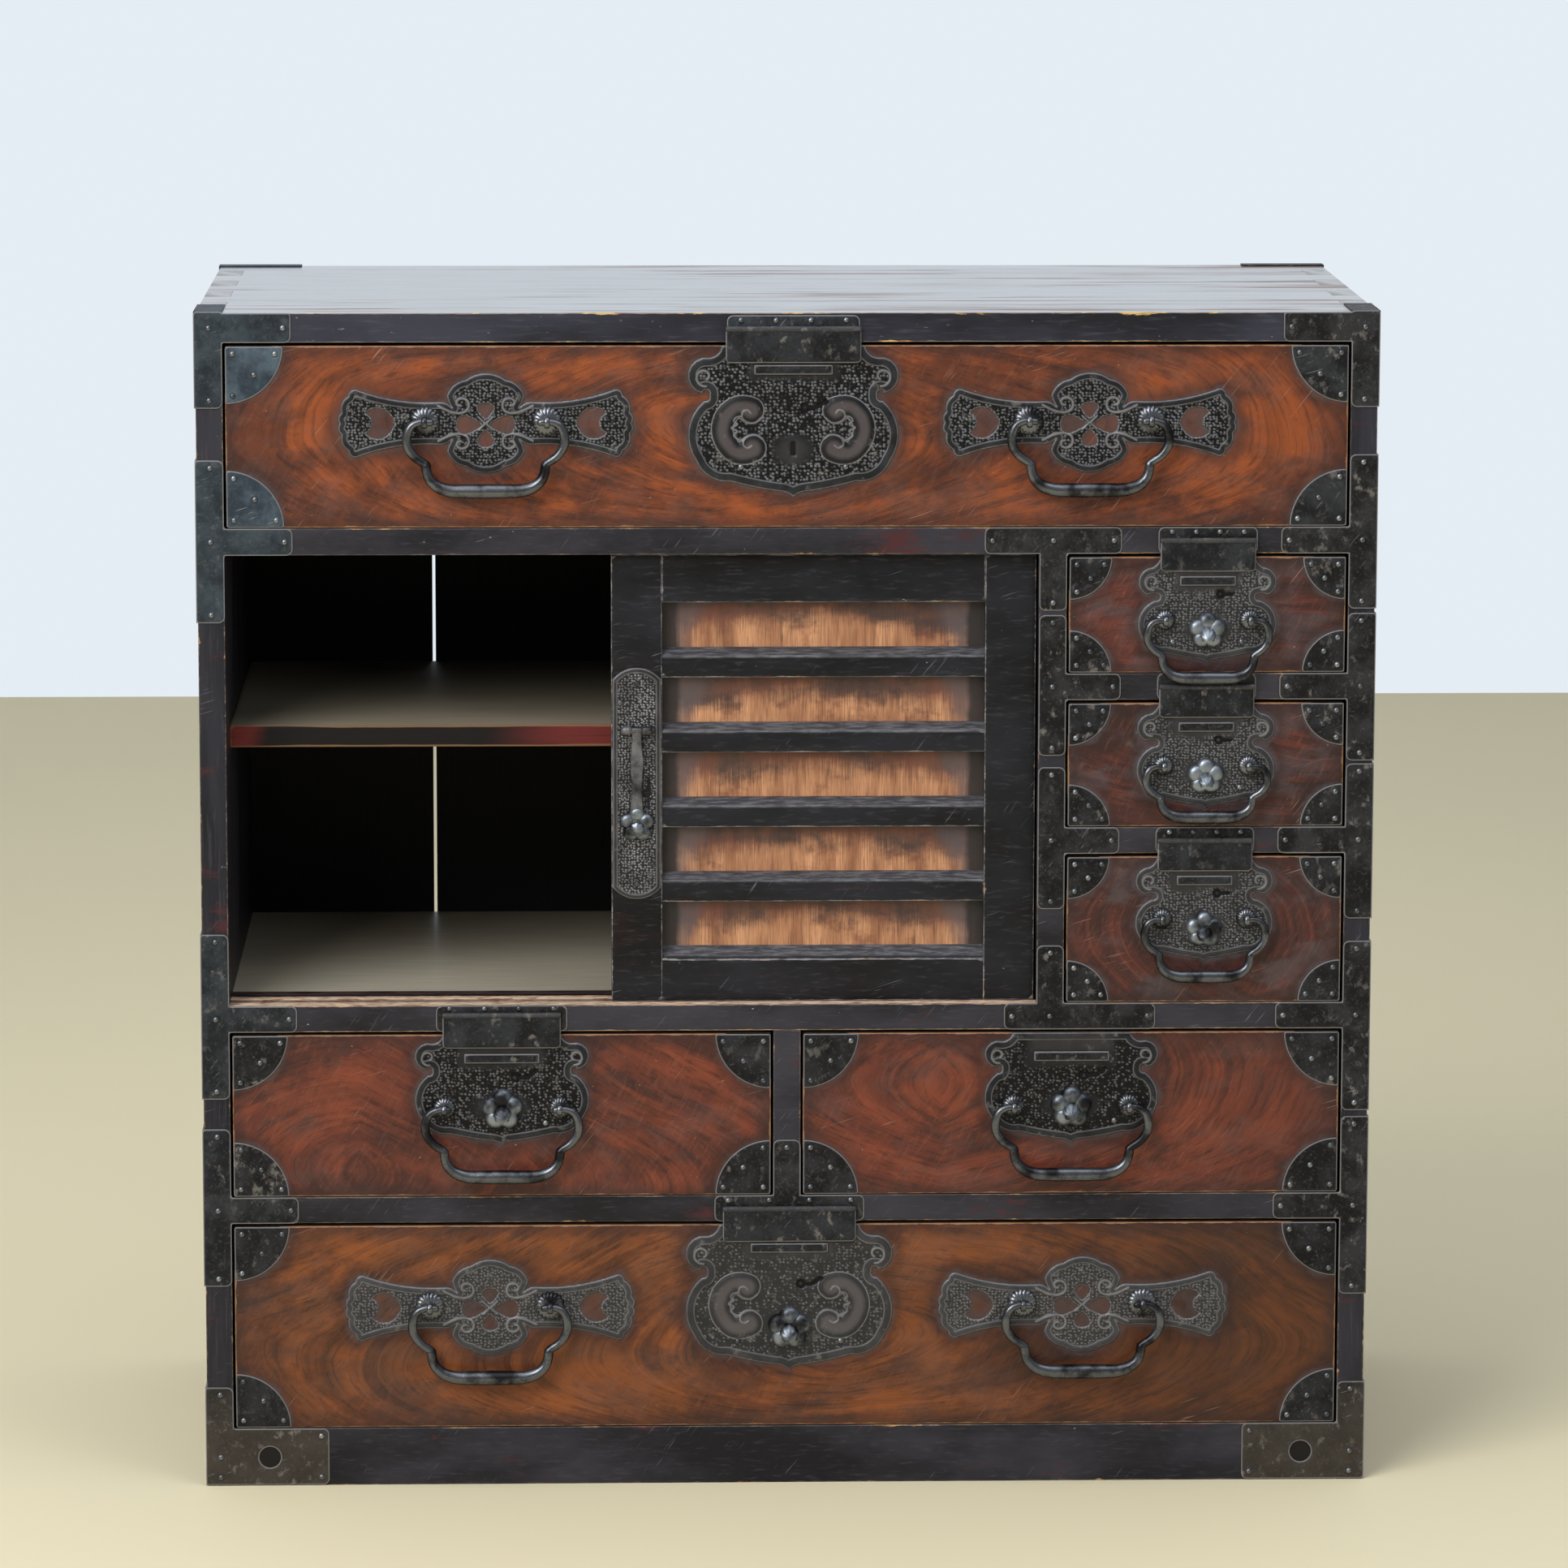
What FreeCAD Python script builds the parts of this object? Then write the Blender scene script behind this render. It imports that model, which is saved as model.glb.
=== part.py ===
import FreeCAD, Part
import math
import os

V = FreeCAD.Vector

# Clothing chest in lacquered wood with wrought iron mounts. All lengths are in millimetres.
# X runs to the right, Y to the back, Z up. The origin is on the floor, under the middle of the carcass.

# Carcass boards
carcass_width = 900.0
carcass_depth = 420.0
side_thickness = 20.5
top_thickness = 22.5
rail_thickness = 20.5
divider_thickness = 21.0
back_thickness = 8.0
back_slit = 2.6
back_slit_from_side = 150.0
back_plank_width = 354.0
base_rail_height = 45.5
base_rail_depth = 22.0
bottom_board_thickness = 18.0
centre_batten_width = 40.0
fingers_per_side = 4
cut_overrun = 5.0

# Bays, from the floor up and from the right inwards
bottom_bay_height = 163.0
middle_bay_height = 130.0
small_bay_heights = (117.0, 99.0, 92.5)
top_bay_height = 142.0
small_bay_width = 216.0
shelf_height = 192.5
shelf_thickness = 17.0
shelf_setback = 60.0

# Sliding doors and their tracks
door_setback = 12.0
door_thickness = 20.0
door_gap = 3.0
door_overlap = 30.0
door_end_gap = 1.5
door_run_gap = 0.4
door_top_gap = 1.5
door_stile_width = 39.0
door_top_rail_height = 37.0
door_bottom_rail_height = 42.0
door_rail_bevel = 9.5
slat_count = 4
slat_height = 22.5
slat_bevel = 6.0
slat_setback = 1.5
door_panel_thickness = 5.0
door_panel_depth = 11.0
door_panel_tongue = 6.0
track_tongue_thickness = 11.0
track_gap = 0.5
bottom_track_depth = 3.0
bottom_tongue_depth = 3.0
top_track_depth = 8.0
top_tongue_depth = 6.5

# Drawers
drawer_setback = 0.6
drawer_side_gap = 1.8
drawer_top_gap = 2.5
drawer_run_gap = 0.4
drawer_length = 398.0
drawer_front_thickness = 18.0
drawer_side_thickness = 10.0
drawer_bottom_thickness = 7.0
drawer_bottom_lift = 3.0
drawer_side_drop = 8.0

# Iron on the frame
iron_thickness = 1.2
strap_corner_radius = 4.5
strap_leg = 54.0
strap_side_leaf = 22.0
arm_reach = 52.0
divider_arm_reach = 42.0
divider_left_reach = 25.0
divider_long_reach = 71.0
middle_plate_reach = 48.0
top_corner_leg = 50.0
bottom_corner_leg = 33.0
bottom_corner_reach = 74.0
corner_hole_diameter = 17.0
corner_hole_inset = 28.0
corner_top_leaf = 62.0
rear_corner_reach = 66.0
rear_corner_leaf = 14.0
floor_clearance = 0.8
left_leg_shares = ((0.97, 0.96), (1.04, 0.97), (1.0, 0.92))
right_leg_shares = ((1.03, 0.79), (0.86, 0.88), (0.91, 0.95), (0.89, 1.2), (1.12, 1.11))
divider_leg_shares = ((0.0, 0.81), (0.84, 0.80), (0.87, 0.80), (0.84, 0.0))

# Nails
nail_radius = 2.3
nail_cap_share = 0.62
nail_inset = 6.0

# Lock plates, keyholes and knobs
plate_thickness = 1.6
corner_plate_thickness = 1.1
bar_height = 7.6
bar_thickness = 2.6
bar_drop = 14.5
keyhole_radius = 3.3
keyhole_pin_radius = 1.5
keyhole_tail_width = 2.2
keyhole_tail_length = 9.5
knob_slot_width = 3.2
knob_slot_length = 11.0
knob_slot_depth = 10.0
knob_slide_gap = 0.3
knob_shank_height = 3.6
knob_stem_radius = 4.0
knob_stem_length = 9.5
knob_stem_tilt = 14.0
petal_count = 5
lock_case_depth = 8.5

# Hasp flaps
flap_thickness = 2.0
flap_gap = 0.4
flap_barrel_radius = 2.3
flap_corner_radius = 3.0

# Handles
handle_plate_length = 224.0
handle_plate_height = 76.0
handle_plate_below_eyes = 1.6
handle_offset = 230.0
handle_post_half = 46.5
rosette_radius = 7.8
rosette_height = 3.6
eye_clearance = 0.1
eye_wall = 2.1
eye_length = 4.2
eye_shank_radius = 2.2
bail_stub = 5.0

# Door lock plate and pull
door_plate_width = 37.0
door_plate_height = 180.0
door_plate_above_middle = -3.5
door_plate_arch = 9.0
door_slot_height = 25.0
pull_width = 11.4
pull_side_gap = 0.4
pull_length = 74.0
pull_thickness = 2.6
pull_gap = 1.2
pull_drop = 48.0
pull_pin_radius = 2.2
pull_ear_width = 3.0
pull_flower_radius = 6.4
pull_petal_radius = 4.6

# Places worked out from the sizes above
left_x = -carcass_width / 2
right_x = carcass_width / 2
inner_left = left_x + side_thickness
inner_right = right_x - side_thickness
front_y = -carcass_depth / 2
back_y = carcass_depth / 2
inner_back = back_y - back_thickness
bottom_bay_z = base_rail_height
lower_board_z = bottom_bay_z + bottom_bay_height
middle_bay_z = lower_board_z + rail_thickness
middle_board_z = middle_bay_z + middle_bay_height
cupboard_z = middle_board_z + rail_thickness
cupboard_height = sum(small_bay_heights) + rail_thickness * (len(small_bay_heights) - 1)
upper_board_z = cupboard_z + cupboard_height
top_bay_z = upper_board_z + rail_thickness
top_board_z = top_bay_z + top_bay_height
carcass_height = top_board_z + top_thickness
small_bay_x = inner_right - small_bay_width
cupboard_right = small_bay_x - divider_thickness
middle_divider_left = -divider_thickness / 2
middle_divider_right = divider_thickness / 2
bottom_board_z = base_rail_height - bottom_board_thickness
shelf_z = cupboard_z + shelf_height
face_y = front_y + drawer_setback
finger_width = carcass_depth / (2 * fingers_per_side + 1)
front_door_y = front_y + door_setback
rear_door_y = front_door_y + door_thickness + door_gap
cupboard_width = cupboard_right - inner_left
door_width = (cupboard_width + door_overlap) / 2
door_travel = cupboard_width - door_width - 2 * door_end_gap
door_x1 = cupboard_right - door_end_gap
door_x0 = door_x1 - door_width
door_z0 = cupboard_z + door_run_gap
door_z1 = cupboard_z + cupboard_height - door_top_gap
small_bay_floors = []
small_board_floors = []
level = cupboard_z
for bay_height in small_bay_heights:
    small_bay_floors.append(level)
    level += bay_height
    small_board_floors.append(level)
    level += rail_thickness
small_board_floors.pop()


# Outlines. Each step is a line (x, z) or an arc (middle x, middle z, end x, end z), in shares of the
# plate's half width and of its height or half height.
broad_lock_start_shares = (0.68, 0.0)
broad_lock_shares = (
    (0.72, 0.055, 0.80, 0.08),
    (1.0, 0.17, 0.865, 0.315),
    (0.83, 0.29, 0.80, 0.325),
    (0.805, 0.355, 0.85, 0.365),
    (1.0, 0.56, 0.925, 0.76),
    (0.81, 0.86, 0.60, 0.895),
    (0.36, 0.935, 0.13, 0.962),
    (0.05, 0.975, 0.0, 1.0),
)
small_lock_start_shares = (0.68, 0.0)
small_lock_shares = (
    (0.73, 0.06, 0.80, 0.10),
    (1.0, 0.22, 0.87, 0.36),
    (0.76, 0.345, 0.70, 0.355),
    (0.69, 0.385, 0.76, 0.41),
    (1.0, 0.60, 0.93, 0.78),
    (0.80, 0.88, 0.60, 0.905),
    (0.36, 0.94, 0.13, 0.965),
    (0.05, 0.975, 0.0, 1.0),
)
handle_start_shares = (0.0, 1.0)
handle_shares = (
    (0.075, 0.965, 0.135, 0.87),
    (0.205, 0.79, 0.262, 0.56),
    (0.25, 0.434, 0.228, 0.32),
    (0.256, 0.385, 0.30, 0.43),
    (0.60, 0.465, 0.86, 0.66),
    (0.905, 0.67, 0.93, 0.55),
    (0.975, 0.40, 0.978, 0.22),
    (1.0, 0.11, 0.99, 0.0),
)
lobe_places_shares = ((0.115, -0.03), (-0.115, -0.03), (0.0, 0.225), (0.0, -0.285))
lobe_radius_share = 0.158
crescent_centre_share = 0.735
crescent_radius_share = 0.345
crescent_bite_share = 0.865
crescent_bite_radius_share = 0.30
lock_nail_shares = ((-0.82, 0.19), (0.82, 0.19), (-0.5, 0.80), (0.5, 0.80))
hasp_nail_shares = (-1.0, -0.33, 0.33, 1.0)

# Bail: centre line of the right half in shares of half width and drop, and bar radius at each point
bail_corner_radius_shares = (0.0, 0.15, 0.17, 0.0, 0.16, 0.30, 0.0)
bail_bar_radius_shares = (1.0, 1.0, 1.0, 1.15, 1.5, 1.9, 2.15)
bail_waist_share = 0.965
bail_point_shares = (
    (0.98, 0.0),
    (1.015, 0.36),
    (0.765, 0.60),
    (0.705, 0.86),
    (0.485, 0.985),
    (0.0, 1.0),
)

# Sizes of the three kinds of lock and of their bails
large_lock = dict(
    width=160.0, height=116.0, start=broad_lock_start_shares, steps=broad_lock_shares,
    bar_width=60.0, knob_drop=82.0, petal_ring=9.8, petal=7.4,
    keyhole_dx=9.0, keyhole_drop=47.5, keyhole_turn=35.0,
    case_width=70.0, case_drop=27.0, case_height=34.0,
    flap_width=103.0, flap_rise=12.5, flap_drop=15.5,
)
medium_lock = dict(
    width=134.0, height=87.0, start=broad_lock_start_shares, steps=broad_lock_shares,
    bar_width=58.0, knob_drop=58.5, petal_ring=9.4, petal=7.2,
    keyhole_dx=10.0, keyhole_drop=34.0, keyhole_turn=35.0,
    case_width=62.0, case_drop=23.0, case_height=21.0,
    flap_width=91.0, flap_rise=15.5, flap_drop=12.5,
)
small_lock = dict(
    width=106.0, height=82.0, start=small_lock_start_shares, steps=small_lock_shares,
    bar_width=43.0, knob_drop=57.0, petal_ring=8.4, petal=6.3,
    keyhole_dx=10.0, keyhole_drop=29.0, keyhole_turn=0.0,
    case_width=46.0, case_drop=22.0, case_height=20.0,
    flap_width=73.0, flap_rise=12.6, flap_drop=13.4,
)
large_bail = dict(half=59.4, post_half=handle_post_half, drop=52.5, bar=2.55, stand_off=9.5)
medium_bail = dict(half=58.6, post_half=44.5, drop=52.5, bar=2.45, stand_off=9.5)
small_bail = dict(half=46.2, post_half=32.5, drop=44.0, bar=2.0, stand_off=8.5)

# How much lower two of the hand-forged bails hang than the others of their kind
bail_extra_drops = {"bottom_left_bail": 2.5, "small_bail_2": -5.0}

# Drawers: bay, lock, place of the lock and of the bails, radius of the corner plates
top_lock_shift = 4.0
bottom_lock_shift = 2.0
small_eye_drop = 48.5
drawers = {
    "top_drawer": dict(
        bay=(inner_left, inner_right, top_bay_z, top_board_z), lock=large_lock,
        lock_shift=top_lock_shift, corner=44.0, hasp="top_hasp", base_width=101.0, knob=None,
        bail=large_bail, eye_drop=57.5, bails=("top_left_bail", "top_right_bail"),
    ),
    "left_drawer": dict(
        bay=(inner_left, middle_divider_left, middle_bay_z, middle_board_z), lock=medium_lock,
        lock_shift=0.0, corner=43.0, hasp="left_drawer_hasp", base_width=101.0,
        knob="left_lock_knob", bail=medium_bail, eye_drop=57.5, bails=("left_drawer_bail",),
    ),
    "right_drawer": dict(
        bay=(middle_divider_right, inner_right, middle_bay_z, middle_board_z), lock=medium_lock,
        lock_shift=0.0, corner=43.0, hasp=None, base_width=0.0,
        knob="right_lock_knob", bail=medium_bail, eye_drop=57.5, bails=("right_drawer_bail",),
    ),
    "bottom_drawer": dict(
        bay=(inner_left, inner_right, bottom_bay_z, lower_board_z), lock=large_lock,
        lock_shift=bottom_lock_shift, corner=43.0, hasp="bottom_hasp", base_width=116.0,
        knob="bottom_lock_knob", bail=large_bail, eye_drop=63.5,
        bails=("bottom_left_bail", "bottom_right_bail"),
    ),
}
for index, floor in enumerate(small_bay_floors):
    number = len(small_bay_floors) - index
    drawers[f"small_drawer_{number}"] = dict(
        bay=(small_bay_x, inner_right, floor, floor + small_bay_heights[index]), lock=small_lock,
        lock_shift=0.0, corner=33.0, hasp=f"small_hasp_{number}", base_width=76.0,
        knob=f"small_lock_knob_{number}", bail=small_bail, eye_drop=small_eye_drop,
        bails=(f"small_bail_{number}",),
    )


# Shape helpers
def box(x0, x1, y0, y1, z0, z1):
    return Part.makeBox(x1 - x0, y1 - y0, z1 - z0, V(x0, y0, z0))


def fused(shapes):
    """One solid out of several that meet."""
    whole = shapes[0].fuse(shapes[1:]) if len(shapes) > 1 else shapes[0]
    return whole.removeSplitter()


def bored(shape, cutters):
    """The shape less its cutters."""
    return shape.cut(Part.makeCompound(cutters)) if cutters else shape


def steps_face(start, steps, y):
    """Face in the plane y: from the start point along lines (x, z) and arcs (mx, mz, x, z)."""
    here = V(start[0], y, start[1])
    first = here
    edges = []
    for step in steps:
        there = V(step[-2], y, step[-1])
        if len(step) == 2:
            edges.append(Part.LineSegment(here, there).toShape())
        else:
            edges.append(Part.Arc(here, V(step[0], y, step[1]), there).toShape())
        here = there
    if here.distanceToPoint(first) > Part.Vertex(first).Tolerance:
        edges.append(Part.LineSegment(here, first).toShape())
    return Part.Face(Part.Wire(edges))


def reversed_steps(start, steps, flip_x, flip_z):
    """The same path walked backwards, mirrored by the signs flip_x and flip_z."""
    ends = [start] + [step[-2:] for step in steps]
    back = []
    for index in range(len(steps) - 1, -1, -1):
        end = (ends[index][0] * flip_x, ends[index][1] * flip_z)
        if len(steps[index]) == 2:
            back.append(end)
        else:
            back.append((steps[index][0] * flip_x, steps[index][1] * flip_z) + end)
    return back


def placed_steps(steps, x, z, scale_x, scale_z):
    """Shares turned into places: x plus share times scale_x, z plus share times scale_z."""
    placed = []
    for step in steps:
        values = []
        for index, share in enumerate(step):
            values.append(x + share * scale_x if index % 2 == 0 else z + share * scale_z)
        placed.append(tuple(values))
    return placed


def sheet(face, thickness):
    """A face in an XZ plane, thickened towards the viewer."""
    return face.extrude(V(0, -thickness, 0))


def rounded_sheet(x0, x1, z0, z1, y, thickness, radius, corners):
    """Rectangle in the plane y with the named corners rounded: bl, br, tr, tl."""
    bend = radius * (1 - math.cos(math.radians(45)))
    steps = []
    start = (x0 + radius, z0) if "bl" in corners else (x0, z0)
    if "br" in corners:
        steps += [(x1 - radius, z0), (x1 - bend, z0 + bend, x1, z0 + radius)]
    else:
        steps += [(x1, z0)]
    if "tr" in corners:
        steps += [(x1, z1 - radius), (x1 - bend, z1 - bend, x1 - radius, z1)]
    else:
        steps += [(x1, z1)]
    if "tl" in corners:
        steps += [(x0 + radius, z1), (x0 + bend, z1 - bend, x0, z1 - radius)]
    else:
        steps += [(x0, z1)]
    if "bl" in corners:
        steps += [(x0, z0 + radius), (x0 + bend, z0 + bend, x0 + radius, z0)]
    return sheet(steps_face(start, steps, y), thickness)


def rod_y(x, z, radius, y0, y1):
    return Part.makeCylinder(radius, y1 - y0, V(x, y0, z), V(0, 1, 0))


def rod_x(x0, x1, y, z, radius):
    return Part.makeCylinder(radius, x1 - x0, V(x0, y, z), V(1, 0, 0))


def dome(x, y, z, radius, height):
    """Cap of a sphere whose flat side lies in the plane y and whose crown points to the front."""
    ball = (radius * radius + height * height) / (2 * height)
    low = math.degrees(math.asin((ball - height) / ball))
    return Part.makeSphere(ball, V(x, y + ball - height, z), V(0, -1, 0), low, 90, 360)


def nail(x, y, z):
    return dome(x, y, z, nail_radius, nail_radius * nail_cap_share)


def nails(places, y):
    return [nail(x, y, z) for x, z in places]


# Carcass
def side_board(sign):
    """Upright side with fingers that reach through the ends of the top board."""
    outer = sign * right_x
    inner = sign * inner_right
    x0 = min(outer, inner)
    x1 = max(outer, inner)
    parts = [box(x0, x1, front_y, back_y, 0, top_board_z)]
    for index in range(fingers_per_side):
        y = front_y + (2 * index + 1) * finger_width
        parts.append(box(x0, x1, y, y + finger_width, top_board_z, carcass_height))
    return fused(parts)


def top_board():
    whole = box(left_x, right_x, front_y, back_y, top_board_z, carcass_height)
    cuts = []
    for index in range(fingers_per_side):
        y0 = front_y + (2 * index + 1) * finger_width
        y1 = y0 + finger_width
        z0 = top_board_z - cut_overrun
        z1 = carcass_height + cut_overrun
        cuts.append(box(left_x - cut_overrun, inner_left, y0, y1, z0, z1))
        cuts.append(box(inner_right, right_x + cut_overrun, y0, y1, z0, z1))
    return bored(whole, cuts)


def base_rails():
    rear_height = bottom_board_z
    front = box(inner_left, inner_right, front_y, front_y + base_rail_depth, 0, base_rail_height)
    rear = box(inner_left, inner_right, back_y - base_rail_depth, back_y, 0, rear_height)
    batten = box(
        -centre_batten_width / 2, centre_batten_width / 2,
        front_y + base_rail_depth, back_y - base_rail_depth, 0, rear_height,
    )
    return [front, rear, batten]


def bottom_board():
    y0 = front_y + base_rail_depth
    return box(inner_left, inner_right, y0, inner_back, bottom_board_z, base_rail_height)


def back_boards():
    """Three upright planks behind the bays, with the open slit between the first two."""
    slit_x = inner_left + back_slit_from_side
    second_x = slit_x + back_slit + back_plank_width
    edges = ((inner_left, slit_x), (slit_x + back_slit, second_x), (second_x, inner_right))
    return [box(x0, x1, inner_back, back_y, bottom_board_z, top_board_z) for x0, x1 in edges]


def track_cuts(z0, z1):
    """Grooves for the tongues of the two doors, between the side and the divider."""
    cuts = []
    for door_y in (front_door_y, rear_door_y):
        inset = (door_thickness - track_tongue_thickness) / 2 - track_gap
        y0 = door_y + inset
        y1 = door_y + door_thickness - inset
        cuts.append(box(inner_left, cupboard_right, y0, y1, z0, z1))
    return cuts


def cross_board(z, x0=inner_left, x1=inner_right):
    return box(x0, x1, front_y, inner_back, z, z + rail_thickness)


def middle_board():
    top = cupboard_z
    return bored(cross_board(middle_board_z), track_cuts(top - bottom_track_depth, top + cut_overrun))


def upper_board():
    low = upper_board_z
    return bored(cross_board(upper_board_z), track_cuts(low - cut_overrun, low + top_track_depth))


def upright_dividers():
    tall = box(cupboard_right, small_bay_x, front_y, inner_back, cupboard_z, upper_board_z)
    short = box(
        middle_divider_left, middle_divider_right, front_y, inner_back, middle_bay_z, middle_board_z
    )
    return [tall, short]


def small_drawer_boards():
    return [cross_board(z, small_bay_x, inner_right) for z in small_board_floors]


def cupboard_shelf():
    y0 = front_y + shelf_setback
    return box(inner_left, cupboard_right, y0, inner_back, shelf_z, shelf_z + shelf_thickness)


# Iron on the frame
def stile_strap(sign, z0, z1, arm_z, reach):
    """Strap bent round the front edge of a side board, with one arm along the rail at arm_z."""
    edge = sign * (right_x + iron_thickness)
    inner = sign * inner_right
    end = sign * (inner_right - reach)
    x0 = min(edge, inner)
    x1 = max(edge, inner)
    free = "br tr" if sign < 0 else "bl tl"
    parts = [rounded_sheet(x0, x1, z0, z1, front_y, iron_thickness, strap_corner_radius, free)]
    arm = rounded_sheet(
        min(edge, end), max(edge, end), arm_z, arm_z + rail_thickness,
        front_y, iron_thickness, strap_corner_radius, free,
    )
    parts.append(arm)
    skin = sign * right_x
    leaf = box(min(edge, skin), max(edge, skin), front_y - iron_thickness, front_y + strap_side_leaf, z0, z1)
    parts.append(leaf)
    middle = sign * (inner_right + side_thickness / 2)
    marks = [(middle, z0 + nail_inset), (middle, z1 - nail_inset)]
    marks += [(middle, arm_z + rail_thickness / 2), (end + sign * nail_inset, arm_z + rail_thickness / 2)]
    return [fused(parts)] + nails(marks, front_y - iron_thickness)


def top_corner(sign):
    """Corner plate with leaves on the front, the side and the top."""
    edge = sign * (right_x + iron_thickness)
    inner = sign * inner_right
    skin = sign * right_x
    end = sign * (inner_right - arm_reach)
    z0 = top_board_z - top_corner_leg
    z1 = carcass_height + iron_thickness
    free = "br" if sign < 0 else "bl"
    y0 = front_y - iron_thickness
    parts = [
        rounded_sheet(min(edge, inner), max(edge, inner), z0, z1, front_y, iron_thickness,
                      strap_corner_radius, free),
        rounded_sheet(min(edge, end), max(edge, end), top_board_z, carcass_height, front_y,
                      iron_thickness, strap_corner_radius, free),
        box(min(edge, skin), max(edge, skin), y0, front_y + strap_side_leaf, z0, z1),
        box(min(edge, inner), max(edge, inner), y0, front_y + corner_top_leaf, carcass_height, z1),
    ]
    middle = sign * (inner_right + side_thickness / 2)
    high = top_board_z + top_thickness / 2
    marks = [(middle, z0 + nail_inset), (middle, high), (end + sign * nail_inset, high)]
    return [fused(parts)] + nails(marks, y0)


def bottom_corner(sign):
    """Corner plate at the foot, pierced by one round hole."""
    edge = sign * (right_x + iron_thickness)
    inner = sign * inner_right
    skin = sign * right_x
    end = sign * (inner_right - bottom_corner_reach)
    z1 = base_rail_height + bottom_corner_leg
    y0 = front_y - iron_thickness
    free = "br tr" if sign < 0 else "bl tl"
    low = floor_clearance
    parts = [
        rounded_sheet(min(edge, inner), max(edge, inner), low, z1, front_y, iron_thickness,
                      strap_corner_radius, free),
        rounded_sheet(min(edge, end), max(edge, end), low, base_rail_height, front_y, iron_thickness,
                      strap_corner_radius, free),
        box(min(edge, skin), max(edge, skin), y0, front_y + strap_side_leaf, low, z1),
    ]
    hole_x = sign * (inner_right - corner_hole_inset)
    hole_z = base_rail_height / 2
    hole = rod_y(hole_x, hole_z, corner_hole_diameter / 2, y0 - cut_overrun, front_y)
    middle = sign * (inner_right + side_thickness / 2)
    marks = [(middle, z1 - nail_inset), (middle, hole_z), (middle, low + nail_inset)]
    marks += [(end + sign * nail_inset, low + nail_inset)]
    marks += [(end + sign * nail_inset, base_rail_height - nail_inset)]
    return [fused(parts).cut(hole)] + nails(marks, y0)


def rear_corner(sign):
    """Edge plate over the back end of the top, with leaves on the top, the back and the side."""
    edge = sign * (right_x + iron_thickness)
    skin = sign * right_x
    end = sign * (right_x - rear_corner_reach)
    z1 = carcass_height + iron_thickness
    low = carcass_height - rear_corner_reach
    y1 = back_y + iron_thickness
    return fused([
        box(min(edge, end), max(edge, end), back_y - rear_corner_leaf, y1, carcass_height, z1),
        box(min(edge, end), max(edge, end), back_y, y1, top_board_z, z1),
        box(min(edge, skin), max(edge, skin), back_y - rear_corner_leaf, y1, low, z1),
    ])


def cross_plate(x0, x1, z, leg_x0, leg_x1, up, down, corners="bl br tr tl"):
    """Plate along a rail at z, with a leg over the divider that stands on it or hangs below it."""
    radius = strap_corner_radius
    plate = rounded_sheet(x0, x1, z, z + rail_thickness, front_y, iron_thickness, radius, corners)
    leg = rounded_sheet(leg_x0, leg_x1, z - down, z + rail_thickness + up, front_y, iron_thickness,
                        radius, corners)
    middle = (leg_x0 + leg_x1) / 2
    half = z + rail_thickness / 2
    marks = [(x1 - nail_inset, half), (middle, half)]
    if x0 < leg_x0 - nail_inset:
        marks.append((x0 + nail_inset, half))
    if up > nail_inset:
        marks.append((middle, z + rail_thickness + up - nail_inset))
    if down > nail_inset:
        marks.append((middle, z - down + nail_inset))
    return [fused([plate, leg])] + nails(marks, front_y - iron_thickness)


def hasp_base(drawer):
    """Plate on the rail above a drawer, behind its hasp flap, with four nails over the flap."""
    x0, x1, z0, z1 = drawer["bay"]
    middle = (x0 + x1) / 2 + drawer["lock_shift"]
    half = drawer["base_width"] / 2
    radius = strap_corner_radius
    plate = rounded_sheet(middle - half, middle + half, z1, z1 + rail_thickness, front_y,
                          iron_thickness, radius, "bl br tr tl")
    row_z = z1 + rail_thickness - (rail_thickness - drawer["lock"]["flap_rise"]) / 2
    reach = half - nail_inset - radius
    marks = [(middle + reach * place, row_z) for place in hasp_nail_shares]
    return plate, nails(marks, front_y - iron_thickness)


def frame_ironwork():
    solids = []
    rails = {"upper": upper_board_z, "middle": middle_board_z, "lower": lower_board_z}
    for rail, (up, down) in zip(("upper", "middle", "lower"), left_leg_shares):
        z = rails[rail]
        solids += stile_strap(-1, z - strap_leg * down, z + rail_thickness + strap_leg * up, z, arm_reach)
    right_rails = [upper_board_z] + small_board_floors[::-1] + [middle_board_z, lower_board_z]
    for z, (up, down) in zip(right_rails, right_leg_shares):
        solids += stile_strap(1, z - strap_leg * down, z + rail_thickness + strap_leg * up, z, arm_reach)
    for sign in (-1, 1):
        solids += top_corner(sign)
        solids += bottom_corner(sign)
        solids.append(rear_corner(sign))
    reach = small_bay_x + divider_arm_reach
    divider_rails = [upper_board_z] + small_board_floors[::-1] + [middle_board_z]
    left_ends = (cupboard_right - divider_arm_reach, cupboard_right, cupboard_right,
                 cupboard_right - divider_left_reach)
    right_ends = (reach, reach, reach, small_bay_x + divider_long_reach)
    for z, left, right, (up, down) in zip(divider_rails, left_ends, right_ends, divider_leg_shares):
        solids += cross_plate(left, right, z, cupboard_right, small_bay_x,
                              strap_leg * up, strap_leg * down)
    for name, drawer in drawers.items():
        if drawer["hasp"] is None:
            continue
        plate, heads = hasp_base(drawer)
        if name == "bottom_drawer":
            leg = rounded_sheet(
                middle_divider_left, middle_divider_right, lower_board_z,
                middle_bay_z + strap_leg * divider_leg_shares[-1][0],
                front_y, iron_thickness, strap_corner_radius, "bl br tr tl",
            )
            plate = fused([plate, leg])
            heads.append(nail(0, front_y - iron_thickness,
                              middle_bay_z + strap_leg * divider_leg_shares[-1][0] - nail_inset))
        solids.append(plate)
        solids += heads
    return solids


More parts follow.
